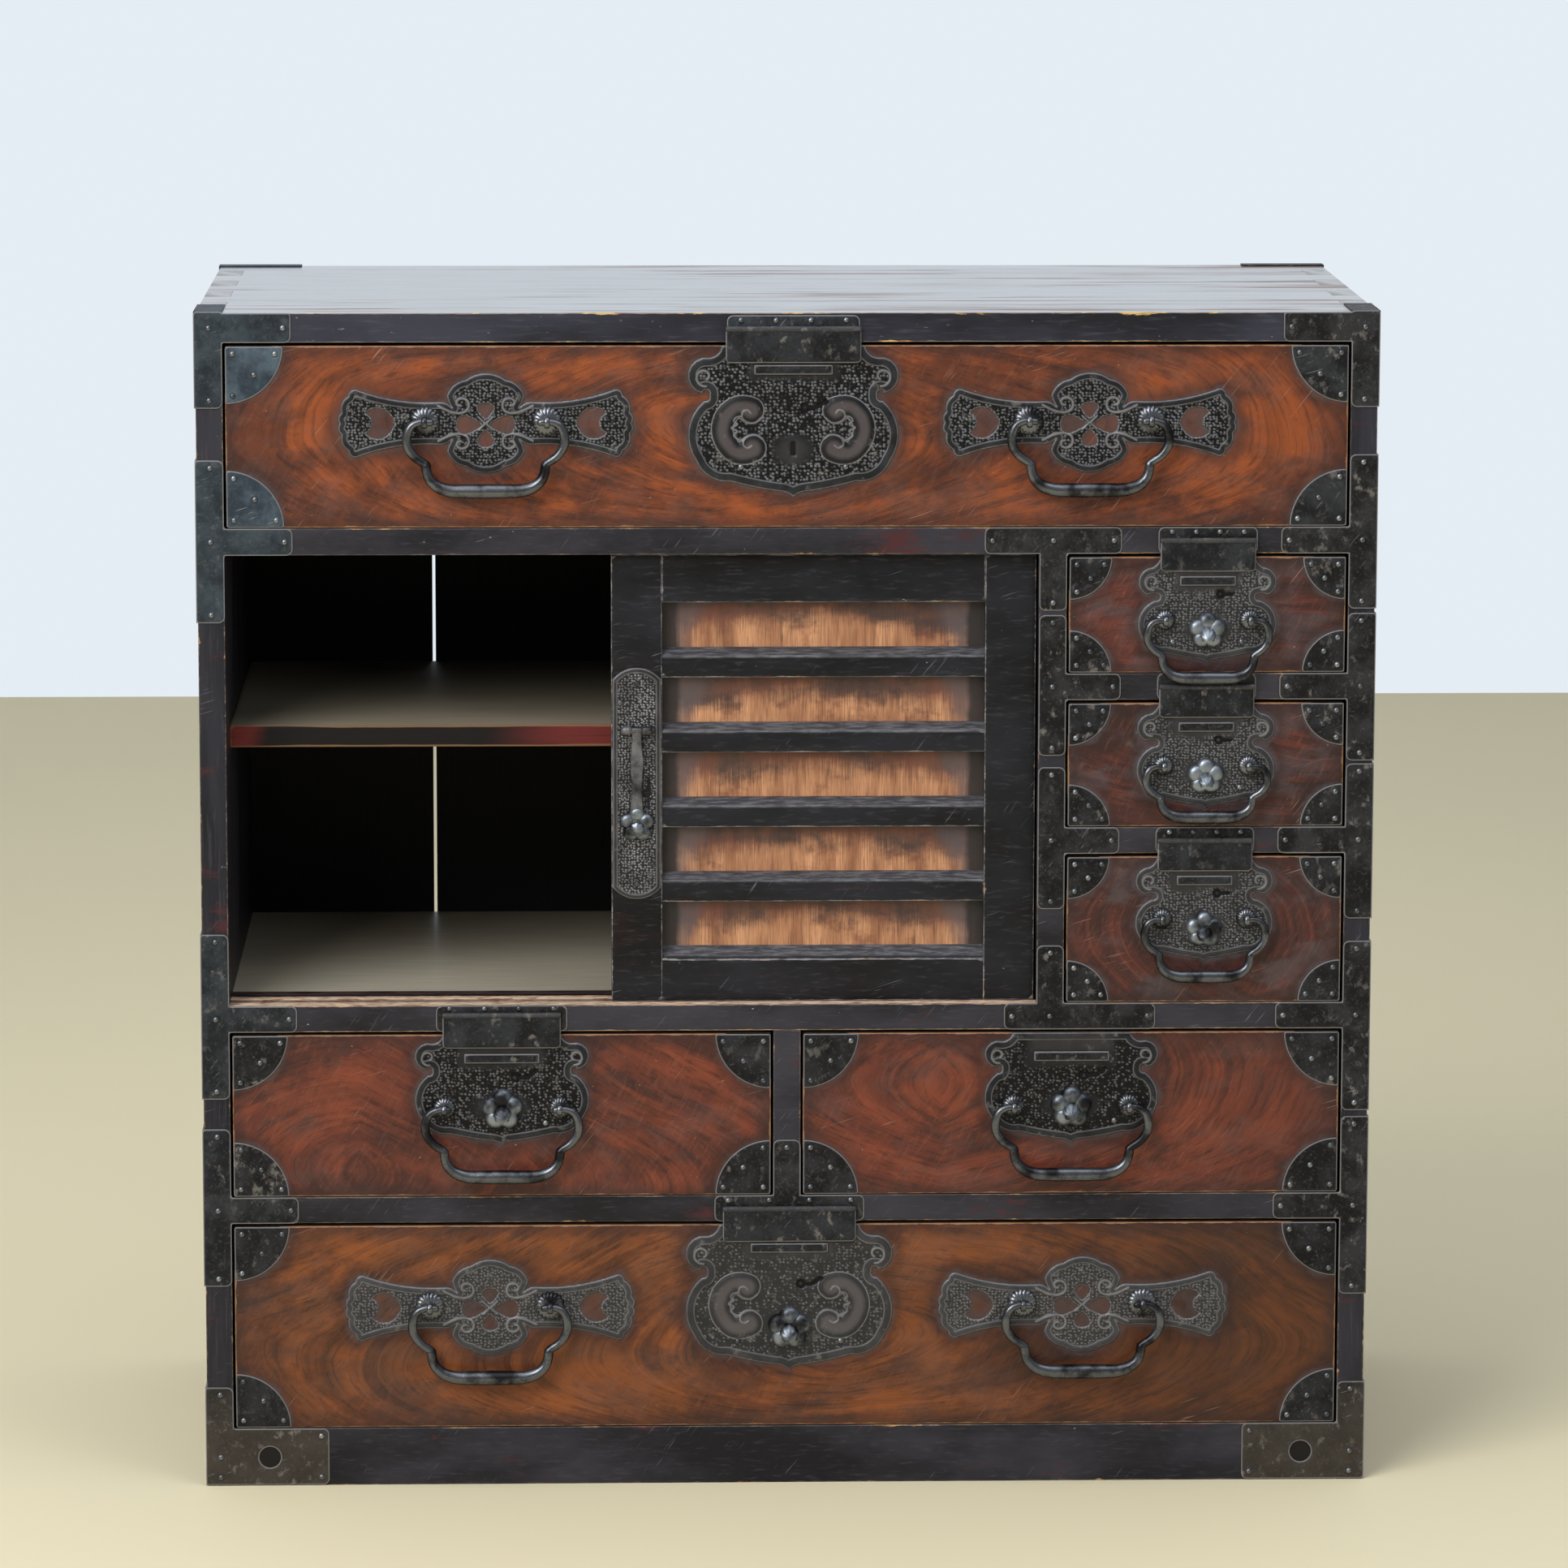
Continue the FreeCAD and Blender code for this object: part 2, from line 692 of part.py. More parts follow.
# Drawers
def front_box(drawer):
    """Left, right, bottom and top of a drawer's front."""
    x0, x1, z0, z1 = drawer["bay"]
    return x0 + drawer_side_gap, x1 - drawer_side_gap, z0 + drawer_run_gap, z1 - drawer_top_gap


def lock_middle(drawer):
    x0, x1, z0, z1 = drawer["bay"]
    return (x0 + x1) / 2 + drawer["lock_shift"]


def knob_place(drawer):
    """Centre of the knob's shank at rest: the lower end of its slot."""
    top = front_box(drawer)[3]
    return lock_middle(drawer), top - drawer["lock"]["knob_drop"]


def knob_slot(drawer, y0, y1):
    x, z = knob_place(drawer)
    half = knob_slot_width / 2
    low = z - knob_shank_height / 2 - knob_slide_gap
    return box(x - half, x + half, y0, y1, low, low + knob_slot_length)


def case_box(drawer, y0, y1):
    lock = drawer["lock"]
    x = lock_middle(drawer)
    top = front_box(drawer)[3] - lock["case_drop"]
    half = lock["case_width"] / 2
    return box(x - half, x + half, y0, y1, top - lock["case_height"], top)


def drawer_front(drawer):
    x0, x1, z0, z1 = front_box(drawer)
    panel = box(x0, x1, face_y, face_y + drawer_front_thickness, z0, z1)
    cuts = [
        case_box(drawer, face_y - cut_overrun, face_y + lock_case_depth),
        knob_slot(drawer, face_y - cut_overrun, face_y + knob_slot_depth),
    ]
    return bored(panel, cuts)


def drawer_box(drawer):
    """Two sides, a back between them and a bottom."""
    x0, x1, z0, z1 = front_box(drawer)
    y0 = face_y + drawer_front_thickness
    y1 = face_y + drawer_length
    top = z1 - drawer_side_drop
    wall = drawer_side_thickness
    floor = z0 + drawer_bottom_lift
    deck = floor + drawer_bottom_thickness
    return [
        box(x0, x0 + wall, y0, y1, z0, top),
        box(x1 - wall, x1, y0, y1, z0, top),
        box(x0 + wall, x1 - wall, y1 - wall, y1, deck, top),
        box(x0 + wall, x1 - wall, y0, y1, floor, deck),
    ]


def keyhole_cuts(x, z, turn, y0, y1):
    """Round hole with a tail to the right that turns upwards."""
    half = keyhole_tail_width / 2
    run = keyhole_tail_length
    cuts = [rod_y(x, z, keyhole_radius, y0, y1), box(x, x + run, y0, y1, z - half, z + half)]
    if turn > 0:
        tip = box(x + run - half, x + run * 2 - half, y0, y1, z - half, z + half)
        tip.rotate(V(x + run - half, y0, z), V(0, -1, 0), turn)
        cuts.append(tip)
    return cuts


def lock_plate(drawer):
    """Shaped plate with its bar, key pin and mortised case; returns a list of solids."""
    lock = drawer["lock"]
    x = lock_middle(drawer)
    top = front_box(drawer)[3]
    half = lock["width"] / 2
    right = placed_steps(lock["steps"], 0, 0, half, -lock["height"])
    start = (lock["start"][0] * half, lock["start"][1])
    left = reversed_steps(start, right, -1, 1)
    steps = placed_steps(right + left, x, top, 1, 1)
    plate = sheet(steps_face((x + start[0], top + start[1]), steps, face_y), plate_thickness)
    y0 = face_y - plate_thickness - cut_overrun
    key_x = x + lock["keyhole_dx"]
    key_z = top - lock["keyhole_drop"]
    cuts = keyhole_cuts(key_x, key_z, lock["keyhole_turn"], y0, face_y)
    cuts.append(knob_slot(drawer, y0, face_y))
    plate = bored(plate, cuts)
    skin = face_y - plate_thickness
    bar_half = lock["bar_width"] / 2
    bar_top = top - bar_drop
    bar = box(x - bar_half, x + bar_half, skin - bar_thickness, skin, bar_top - bar_height, bar_top)
    pin = rod_y(key_x, key_z, keyhole_pin_radius, skin, face_y)
    case = case_box(drawer, face_y, face_y + lock_case_depth)
    return [plate, bar, pin, case]


def corner_plates(drawer):
    """Quarter-round plate in each corner of the front, each with four nails."""
    x0, x1, z0, z1 = front_box(drawer)
    radius = drawer["corner"]
    bend = radius * math.cos(math.radians(45))
    solids = []
    for x, sx in ((x0, 1), (x1, -1)):
        for z, sz in ((z0, 1), (z1, -1)):
            steps = [
                (x + sx * radius, z),
                (x + sx * bend, z + sz * bend, x, z + sz * radius),
            ]
            solids.append(sheet(steps_face((x, z), steps, face_y), corner_plate_thickness))
            near = nail_inset
            far = radius - nail_inset
            marks = [(near, near), (far, near), (near, far)]
            places = [(x + sx * a, z + sz * b) for a, b in marks]
            solids += nails(places, face_y - corner_plate_thickness)
    return solids


def handle_plate(x, z):
    """Long plate behind a bail, pierced by a four-lobed flower and a crescent in each wing."""
    half_x = handle_plate_length / 2
    half_z = handle_plate_height / 2
    quarter = placed_steps(handle_shares, 0, 0, half_x, half_z)
    start = (handle_start_shares[0] * half_x, handle_start_shares[1] * half_z)
    right = quarter + reversed_steps(start, quarter, 1, -1)
    low = (start[0], -start[1])
    whole = right + reversed_steps(start, right, -1, 1)
    steps = placed_steps(whole, x, z, 1, 1)
    plate = sheet(steps_face((x + start[0], z + start[1]), steps, face_y), plate_thickness)
    y0 = face_y - plate_thickness - cut_overrun
    cuts = []
    for across, up in lobe_places_shares:
        place = (x + across * half_x, z + up * half_z)
        cuts.append(rod_y(place[0], place[1], lobe_radius_share * half_z, y0, face_y))
    for sign in (-1, 1):
        moon = rod_y(x + sign * crescent_centre_share * half_x, z, crescent_radius_share * half_z, y0, face_y)
        bite = rod_y(x + sign * crescent_bite_share * half_x, z, crescent_bite_radius_share * half_z,
                     y0 - cut_overrun, face_y + cut_overrun)
        cuts.append(moon.cut(bite))
    return bored(plate, cuts)


def eye_place(drawer, bail_index):
    """Centre of the bail's hinge axis."""
    top = front_box(drawer)[3]
    if len(drawer["bails"]) == 2:
        x0, x1, z0, z1 = drawer["bay"]
        x = (x0 + x1) / 2 + (handle_offset if bail_index else -handle_offset)
    else:
        x = lock_middle(drawer)
    return x, face_y - plate_thickness - drawer["bail"]["stand_off"], top - drawer["eye_drop"]


def eye_post(x, z, bail):
    """Rosette with a shank that ends in a ring for the bail's stub."""
    skin = face_y - plate_thickness
    axis_y = skin - bail["stand_off"]
    hole = bail["bar"] + eye_clearance
    ring = rod_x(x - eye_length / 2, x + eye_length / 2, axis_y, z, hole + eye_wall)
    shank = rod_y(x, z, eye_shank_radius, axis_y, skin)
    rosette = dome(x, skin, z, rosette_radius, rosette_height)
    bore = rod_x(x - eye_length, x + eye_length, axis_y, z, hole)
    return fused([rosette, shank, ring]).cut(bore)


def drawer_ironwork(drawer):
    solids = lock_plate(drawer)
    solids += corner_plates(drawer)
    skin = face_y - plate_thickness
    for index in range(len(drawer["bails"])):
        x, y, z = eye_place(drawer, index)
        if len(drawer["bails"]) == 2:
            solids.append(handle_plate(x, z - handle_plate_below_eyes))
        for sign in (-1, 1):
            solids.append(eye_post(x + sign * drawer["bail"]["post_half"], z, drawer["bail"]))
    lock = drawer["lock"]
    x = lock_middle(drawer)
    top = front_box(drawer)[3]
    marks = []
    for across, down in lock_nail_shares:
        marks.append((x + across * lock["width"] / 2, top - down * lock["height"]))
    return solids + nails(marks, skin)


# Moving ironwork
def tapered_bar(points, radii, bends):
    """Round bar along a path in an XZ plane: cones on the runs, ring sectors at the bends.

    A bend radius of zero makes a sharp corner, which gets a ball.
    """
    count = len(points)
    entries = [points[0]]
    exits = [points[0]]
    pieces = []
    for index in range(1, count - 1):
        before = (points[index - 1] - points[index]).normalize()
        after = (points[index + 1] - points[index]).normalize()
        if bends[index] == 0:
            entries.append(points[index])
            exits.append(points[index])
            pieces.append(Part.makeSphere(radii[index], points[index]))
            continue
        between = before.getAngle(after)
        back_off = bends[index] / math.tan(between / 2)
        start = points[index] + before * back_off
        end = points[index] + after * back_off
        bisector = (before + after).normalize()
        centre = points[index] + bisector * (bends[index] / math.sin(between / 2))
        axis = (start - centre).cross(end - centre).normalize()
        section = Part.Face(Part.Wire(Part.makeCircle(radii[index], start, before)))
        pieces.append(section.revolve(centre, axis, math.degrees(math.pi - between)))
        entries.append(start)
        exits.append(end)
    entries.append(points[-1])
    exits.append(points[-1])
    for index in range(count - 1):
        run = entries[index + 1] - exits[index]
        direction = V(run).normalize()
        r0 = radii[index]
        r1 = radii[index + 1]
        if abs(r1 - r0) < eye_clearance:
            pieces.append(Part.makeCylinder(r0, run.Length, exits[index], direction))
        else:
            pieces.append(Part.makeCone(r0, r1, run.Length, exits[index], direction))
    return fused(pieces)


def bail(drawer, index):
    """Hanging handle: thin shoulders, a cusp on each side and a thick grip."""
    sizes = drawer["bail"]
    x, y, z = eye_place(drawer, index)
    half = sizes["half"]
    drop = sizes["drop"] + bail_extra_drops.get(drawer["bails"][index], 0)
    right = [V(x + sizes["post_half"] - bail_stub, y, z)]
    for across, down in bail_point_shares:
        right.append(V(x + across * half, y, z - down * drop))
    left = [V(2 * x - point.x, point.y, point.z) for point in right[:-1]][::-1]
    points = right + left
    half_radii = [sizes["bar"] * share for share in bail_bar_radius_shares]
    half_bends = [drop * share for share in bail_corner_radius_shares]
    radii = half_radii + half_radii[:-1][::-1]
    bends = half_bends + half_bends[:-1][::-1]
    points.pop(len(right) - 1)
    radii.pop(len(right) - 1)
    bends.pop(len(right) - 1)
    return tapered_bar(points, radii, bends)


def flap_axis(drawer):
    """Centre of the barrel at the flap's top edge."""
    x = lock_middle(drawer)
    z = drawer["bay"][3] + drawer["lock"]["flap_rise"] - flap_barrel_radius
    y = front_y - iron_thickness - flap_gap - flap_barrel_radius
    return x, y, z


def hasp(drawer):
    """Flap with a rolled barrel along its top edge, hanging over the lock plate."""
    x, y, z = flap_axis(drawer)
    half = drawer["lock"]["flap_width"] / 2
    low = drawer["bay"][3] - drawer["lock"]["flap_drop"]
    back = y + flap_thickness / 2
    leaf = rounded_sheet(x - half, x + half, low, z, back, flap_thickness, flap_corner_radius, "bl br")
    return fused([leaf, rod_x(x - half, x + half, y, z, flap_barrel_radius)])


def lock_knob(drawer):
    """Flower of domed petals round a stem, on a shank that slides in the plate's slot."""
    lock = drawer["lock"]
    x, z = knob_place(drawer)
    seat = face_y - plate_thickness - knob_slide_gap
    parts = []
    for index in range(petal_count):
        turn = math.radians(90 + 360 * index / petal_count)
        px = x + lock["petal_ring"] * math.cos(turn)
        pz = z + lock["petal_ring"] * math.sin(turn)
        parts.append(Part.makeSphere(lock["petal"], V(px, seat, pz), V(0, -1, 0), 0, 90, 360))
    parts.append(rod_y(x, z, lock["petal_ring"], seat - lock["petal"] / 2, seat))
    tilt = math.radians(knob_stem_tilt)
    aim = V(0, -math.cos(tilt), -math.sin(tilt))
    foot = V(x, seat - lock["petal"] / 3, z)
    parts.append(Part.makeCylinder(knob_stem_radius, knob_stem_length, foot, aim))
    parts.append(Part.makeSphere(knob_stem_radius, foot + aim * knob_stem_length))
    half = knob_slot_width / 2 - knob_slide_gap
    tall = knob_shank_height / 2
    deep = face_y + knob_slot_depth - knob_slide_gap
    parts.append(box(x - half, x + half, seat, deep, z - tall, z + tall))
    return fused(parts)


# Sliding doors
def door_member(x0, x1, y, z0, z1, foot, head):
    """Upright or cross member; foot and head add the tongue that runs in the track."""
    parts = [box(x0, x1, y, y + door_thickness, z0, z1)]
    inset = (door_thickness - track_tongue_thickness) / 2
    t0 = y + inset
    t1 = t0 + track_tongue_thickness
    if foot:
        low = cupboard_z - bottom_tongue_depth + door_run_gap
        parts.append(box(x0, x1, t0, t1, low, z0))
    if head:
        parts.append(box(x0, x1, t0, t1, z1, z1 + top_tongue_depth))
    return fused(parts)


def bevelled_bar(x0, x1, y0, y1, z0, z1, bevel):
    """Cross bar whose top slopes down to the front."""
    points = [V(x0, y0, z0), V(x0, y1, z0), V(x0, y1, z1), V(x0, y0, z1 - bevel), V(x0, y0, z0)]
    return Part.Face(Part.makePolygon(points)).extrude(V(x1 - x0, 0, 0))


def door_solids(y):
    """Frame members and the panel of one door, both at y."""
    x0 = door_x0
    x1 = door_x1
    in0 = x0 + door_stile_width
    in1 = x1 - door_stile_width
    top_rail_z = door_z1 - door_top_rail_height
    bottom_rail_top = door_z0 + door_bottom_rail_height
    panel_y0 = y + door_panel_depth
    panel_y1 = panel_y0 + door_panel_thickness
    tongue = door_panel_tongue
    panel = box(in0 - tongue, in1 + tongue, panel_y0, panel_y1, bottom_rail_top - tongue, top_rail_z + tongue)
    stiles = [
        door_member(x0, in0, y, door_z0, door_z1, True, True).cut(panel),
        door_member(in1, x1, y, door_z0, door_z1, True, True).cut(panel),
    ]
    bottom = door_member(in0, in1, y, door_z0, bottom_rail_top, True, False)
    shave = box(in0, in1, y, y + door_panel_depth, bottom_rail_top - door_rail_bevel, bottom_rail_top)
    slope = bevelled_bar(in0, in1, y, y + door_panel_depth, bottom_rail_top - door_rail_bevel,
                         bottom_rail_top, door_rail_bevel)
    rails = [
        fused([bottom.cut(shave), slope]).cut(panel),
        door_member(in0, in1, y, top_rail_z, door_z1, False, True).cut(panel),
    ]
    pitch = (top_rail_z - bottom_rail_top + slat_height) / (slat_count + 1)
    slats = []
    for index in range(slat_count):
        top = bottom_rail_top + pitch * (index + 1)
        slats.append(bevelled_bar(in0, in1, y + slat_setback, panel_y0, top - slat_height, top, slat_bevel))
    return stiles + rails + slats, panel


def pull_place():
    """Hinge axis of the door pull."""
    x = door_x0 + door_stile_width / 2
    middle = (door_z0 + door_z1) / 2 + door_plate_above_middle
    z = middle + door_plate_height / 2 - pull_drop
    y = front_door_y - plate_thickness - pull_gap - pull_pin_radius
    return x, y, z


def door_lock_plate():
    """Long plate with arched ends, the two ears of the pull's pin, a slot and nails."""
    x, y, z = pull_place()
    middle = (door_z0 + door_z1) / 2 + door_plate_above_middle
    half = door_plate_width / 2
    top = middle + door_plate_height / 2
    low = middle - door_plate_height / 2
    arch = door_plate_arch
    steps = [
        (x - half, top - arch),
        (x, top, x + half, top - arch),
        (x + half, low + arch),
        (x, low, x - half, low + arch),
    ]
    plate = sheet(steps_face((x - half, low + arch), steps, front_door_y), plate_thickness)
    skin = front_door_y - plate_thickness
    slot_x = x + pull_width / 2 + keyhole_tail_width
    key_z = z - pull_length * 2 / 3
    slot_half = door_slot_height / 2
    cuts = [
        rod_y(slot_x, key_z, keyhole_radius, skin - cut_overrun, front_door_y),
        box(slot_x, slot_x + keyhole_tail_width, skin - cut_overrun, front_door_y,
            key_z - slot_half, key_z + slot_half),
    ]
    plate = bored(plate, cuts)
    ears = []
    for sign in (-1, 1):
        ear_x = x + sign * (pull_width / 2 + pull_side_gap + pull_ear_width / 2)
        post = box(ear_x - pull_ear_width / 2, ear_x + pull_ear_width / 2, y, skin,
                   z - pull_pin_radius, z + pull_pin_radius)
        knuckle = rod_x(ear_x - pull_ear_width / 2, ear_x + pull_ear_width / 2, y, z, pull_pin_radius * 2)
        bore = rod_x(ear_x - pull_ear_width, ear_x + pull_ear_width, y, z, pull_pin_radius + eye_clearance)
        shave = box(ear_x - pull_ear_width, ear_x + pull_ear_width, skin, skin + 2 * pull_pin_radius,
                    z - 2 * pull_pin_radius, z + 2 * pull_pin_radius)
        ears.append(fused([post, knuckle]).cut(bore).cut(shave))
    marks = [(x, top - nail_inset * 2), (x, low + nail_inset * 2)]
    marks += [(x - half + nail_inset, top - arch * 2), (x + half - nail_inset, low + arch * 2)]
    return [fused([plate] + ears)] + nails(marks, skin)


def door_pull():
    """Drop pull: a pin in the ears, a flat bar and a flower at its lower end."""
    x, y, z = pull_place()
    half = pull_width / 2
    pin_half = half + pull_side_gap + pull_ear_width
    bar_back = y + pull_pin_radius
    parts = [
        rod_x(x - pin_half, x + pin_half, y, z, pull_pin_radius),
        box(x - half, x + half, bar_back - pull_thickness, bar_back, z - pull_length, z),
        dome(x, bar_back - pull_thickness, z - pull_length, pull_flower_radius, pull_petal_radius),
        rod_y(x, z - pull_length, pull_flower_radius, bar_back - pull_thickness, bar_back),
    ]
    for index in range(petal_count):
        turn = math.radians(90 + 360 * index / petal_count)
        px = x + pull_flower_radius * math.cos(turn)
        pz = z - pull_length + pull_flower_radius * math.sin(turn)
        parts.append(Part.makeSphere(pull_petal_radius, V(px, bar_back, pz), V(0, -1, 0), 0, 90, 360))
    return fused(parts)


# All nodes
def nodes():
    parts = {
        "left_side": [side_board(-1)],
        "right_side": [side_board(1)],
        "top_board": [top_board()],
        "bottom_board": [bottom_board()],
        "back_boards": back_boards(),
        "base_rails": base_rails(),
        "upper_board": [upper_board()],
        "middle_board": [middle_board()],
        "lower_board": [cross_board(lower_board_z)],
        "upright_dividers": upright_dividers(),
        "small_drawer_boards": small_drawer_boards(),
        "cupboard_shelf": [cupboard_shelf()],
        "frame_ironwork": frame_ironwork(),
    }
    for name, drawer in drawers.items():
        parts[f"{name}_front"] = [drawer_front(drawer)]
        parts[f"{name}_box"] = drawer_box(drawer)
        parts[f"{name}_ironwork"] = drawer_ironwork(drawer)
        for index, bail_name in enumerate(drawer["bails"]):
            parts[bail_name] = [bail(drawer, index)]
        if drawer["hasp"]:
            parts[drawer["hasp"]] = [hasp(drawer)]
        if drawer["knob"]:
            parts[drawer["knob"]] = [lock_knob(drawer)]
    frame, panel = door_solids(front_door_y)
    parts["right_door_frame"] = frame
    parts["right_door_panel"] = [panel]
    parts["right_door_lock_plate"] = door_lock_plate()
    parts["right_door_pull"] = [door_pull()]
    rear_frame, rear_panel = door_solids(rear_door_y)
    parts["left_door"] = rear_frame + [rear_panel]
    return parts


def main():
    os.makedirs("parts", exist_ok=True)
    parts = nodes()
    for name, solids in parts.items():
        shape = solids[0] if len(solids) == 1 else Part.makeCompound(solids)
        bad = [solid for solid in shape.Solids if not solid.isValid()]
        print(f"{name:26s} solids {len(shape.Solids):3d} of {len(solids):3d}  bad {len(bad)}"
              f"  volume {shape.Volume:12.1f}")
        shape.exportStep(os.path.join("parts", f"{name}.step"))
    print(len(parts), "nodes")


main()
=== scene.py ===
import math

import bmesh
import bpy
import numpy as np
from mathutils import Matrix, Vector


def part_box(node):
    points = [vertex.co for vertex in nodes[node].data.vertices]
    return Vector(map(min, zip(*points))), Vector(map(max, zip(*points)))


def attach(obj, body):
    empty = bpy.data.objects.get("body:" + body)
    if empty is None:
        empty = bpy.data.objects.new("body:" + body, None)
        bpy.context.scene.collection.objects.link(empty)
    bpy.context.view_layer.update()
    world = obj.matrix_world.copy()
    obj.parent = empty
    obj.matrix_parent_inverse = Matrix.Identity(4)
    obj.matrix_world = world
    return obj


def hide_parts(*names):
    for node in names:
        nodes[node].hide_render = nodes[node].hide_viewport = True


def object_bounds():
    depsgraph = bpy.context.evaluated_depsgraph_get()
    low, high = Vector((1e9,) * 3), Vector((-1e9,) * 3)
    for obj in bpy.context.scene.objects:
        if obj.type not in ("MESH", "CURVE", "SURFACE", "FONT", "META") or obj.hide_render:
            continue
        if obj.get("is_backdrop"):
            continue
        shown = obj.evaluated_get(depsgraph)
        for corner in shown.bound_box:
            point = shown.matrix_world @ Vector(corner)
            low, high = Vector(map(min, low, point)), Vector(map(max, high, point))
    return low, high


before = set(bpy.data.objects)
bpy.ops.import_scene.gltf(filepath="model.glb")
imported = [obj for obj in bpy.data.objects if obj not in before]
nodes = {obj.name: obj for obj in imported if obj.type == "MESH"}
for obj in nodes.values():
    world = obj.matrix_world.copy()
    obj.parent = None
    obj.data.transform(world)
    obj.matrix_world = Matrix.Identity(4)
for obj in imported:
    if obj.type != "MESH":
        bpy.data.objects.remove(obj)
cad_low, cad_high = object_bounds()

# A clothing chest in lacquered wood with wrought iron mounts. Lengths here are in millimetres and are
# turned into metres where a mesh is made. X runs to the right, Y to the back, Z up.
MM = 0.001
far_mark = 60.0  # the distance that a mark has where nothing is near
plate_thick, corner_thick, iron_thick = 1.6, 1.1, 1.2
front_y, face_y, inner_back = -210.0, -209.4, 202.0  # carcass front, drawer fronts, inside of the back
side_x, inner_x, edge_x = 450.0, 429.5, 451.2  # outer and inner face of a side, outside of its iron
lower_z, middle_z, upper_z, top_z = 208.5, 359.0, 729.0, 914.0  # undersides of the rails, and the top
small_zs = (496.5, 616.0)  # undersides of the rails between the small drawers
rail, top_thick = 20.5, 22.5
cupboard_right, small_left = 192.5, 213.5  # faces of the divider beside the cupboard
slat_foot, slat_pitch, door_middle = 421.9, 58.22, 28.0
foot_hole_x, foot_hole_z = 401.5, 22.75


# Shapes
class Shape:
    """Points in millimetres, faces as arrays of point numbers, and marks: one number per point."""

    def __init__(self, points, faces, marks=None):
        self.points = np.asarray(points, float).reshape(-1, 3)
        self.faces = [np.asarray(face, int) for face in faces if len(face)]
        self.marks = dict(marks or {})

    def moved(self, dx=0.0, dy=0.0, dz=0.0):
        """The same shape at another place: each point plus the step."""
        return Shape(self.points + np.array([dx, dy, dz]), self.faces, self.marks)


def joined(shapes):
    """Several shapes as one: the points follow one another and each shape's point numbers move on."""
    names = sorted({name for shape in shapes for name in shape.marks})
    starts = np.cumsum([0] + [len(shape.points) for shape in shapes])
    faces = [face + start for shape, start in zip(shapes, starts) for face in shape.faces]
    marks = {}
    for name in names:
        rows = [shape.marks.get(name, np.full(len(shape.points), far_mark)) for shape in shapes]
        marks[name] = np.concatenate(rows)
    return Shape(np.concatenate([shape.points for shape in shapes]), faces, marks)


def repeated(shape, places):
    """The same shape at every place: its points plus each place, as one block of arrays."""
    places = np.asarray(places, float)
    count = len(shape.points)
    points = (places[:, None, :] + shape.points[None, :, :]).reshape(-1, 3)
    shift = (np.arange(len(places)) * count)[:, None, None]
    faces = [(face[None, :, :] + shift).reshape(-1, face.shape[1]) for face in shape.faces]
    marks = {name: np.tile(values, len(places)) for name, values in shape.marks.items()}
    return Shape(points, faces, marks)


def grid_faces(rows, columns, closed=False):
    """Quads between neighbouring rows and columns; closed joins the last column to the first."""
    row = np.arange(rows - 1)[:, None]
    column = np.arange(columns if closed else columns - 1)[None, :]
    after = (column + 1) % columns
    quads = [row * columns + column, row * columns + after,
             (row + 1) * columns + after, (row + 1) * columns + column]
    return np.stack(quads, -1).reshape(-1, 4)


def skin(rings, marks=None):
    """Closed skin over rings (rows, columns, 3): quads between the rings and a flat face at each end."""
    rings = np.asarray(rings, float)
    rows, columns = rings.shape[:2]
    first = np.arange(columns)[::-1][None, :]
    last = (rows - 1) * columns + np.arange(columns)[None, :]
    return Shape(rings, [grid_faces(rows, columns, True), first, last], marks)


def smooth_line(points, count):
    """Cubic curve through the points: between two of them the ends and the slopes there are blended,
    each slope being the change from the point before to the point after."""
    points = np.asarray(points, float)
    steps = np.linalg.norm(np.diff(points[:, :2], axis=0), axis=1)
    along = np.concatenate([[0], np.cumsum(steps)])
    slopes = np.gradient(points, along, axis=0)
    where = np.linspace(0, along[-1], count)
    index = np.clip(np.searchsorted(along, where, side="right") - 1, 0, len(points) - 2)
    run = (along[index + 1] - along[index])[:, None]
    t = (where - along[index])[:, None] / run
    return ((2 * t ** 3 - 3 * t ** 2 + 1) * points[index] + (t ** 3 - 2 * t ** 2 + t) * run * slopes[index]
            + (3 * t ** 2 - 2 * t ** 3) * points[index + 1] + (t ** 3 - t ** 2) * run * slopes[index + 1])


def full_turn(count):
    """Equal steps round a circle."""
    return np.linspace(0, 2 * np.pi, count, endpoint=False)


def level_path(xs, y, z):
    """Points side by side along X."""
    return np.column_stack([xs, np.full(len(xs), y), np.full(len(xs), z)])


def tube(path, radii, plane=(0.0, 1.0, 0.0), sides=16, dome=True):
    """Round bar along a path that lies in a plane: a circle whose radius changes along the way, set
    square to the path. A dome at each end is three more circles that shrink like a quarter circle."""
    path = np.asarray(path, float)
    radii = np.broadcast_to(np.asarray(radii, float), (len(path),)).copy()
    if dome:
        turn = np.radians([12, 40, 68, 90])
        head = (path[1] - path[0]) / np.linalg.norm(path[1] - path[0])
        tail = (path[-1] - path[-2]) / np.linalg.norm(path[-1] - path[-2])
        low = path[0] - head * radii[0] * np.cos(turn)[:, None]
        high = path[-1] + tail * radii[-1] * np.cos(turn)[::-1, None]
        path = np.concatenate([low[:3], path, high[1:]])
        radii = np.concatenate([radii[0] * np.sin(turn)[:3], radii, radii[-1] * np.sin(turn)[::-1][1:]])
    along = np.gradient(path, axis=0)
    along /= np.linalg.norm(along, axis=1)[:, None]
    across = np.broadcast_to(np.asarray(plane, float), along.shape)
    out = np.cross(across, along)
    turn = full_turn(sides)[None, :, None]
    reach = radii[:, None, None]
    rings = path[:, None, :] + reach * (np.cos(turn) * out[:, None, :] + np.sin(turn) * across[:, None, :])
    return skin(rings)


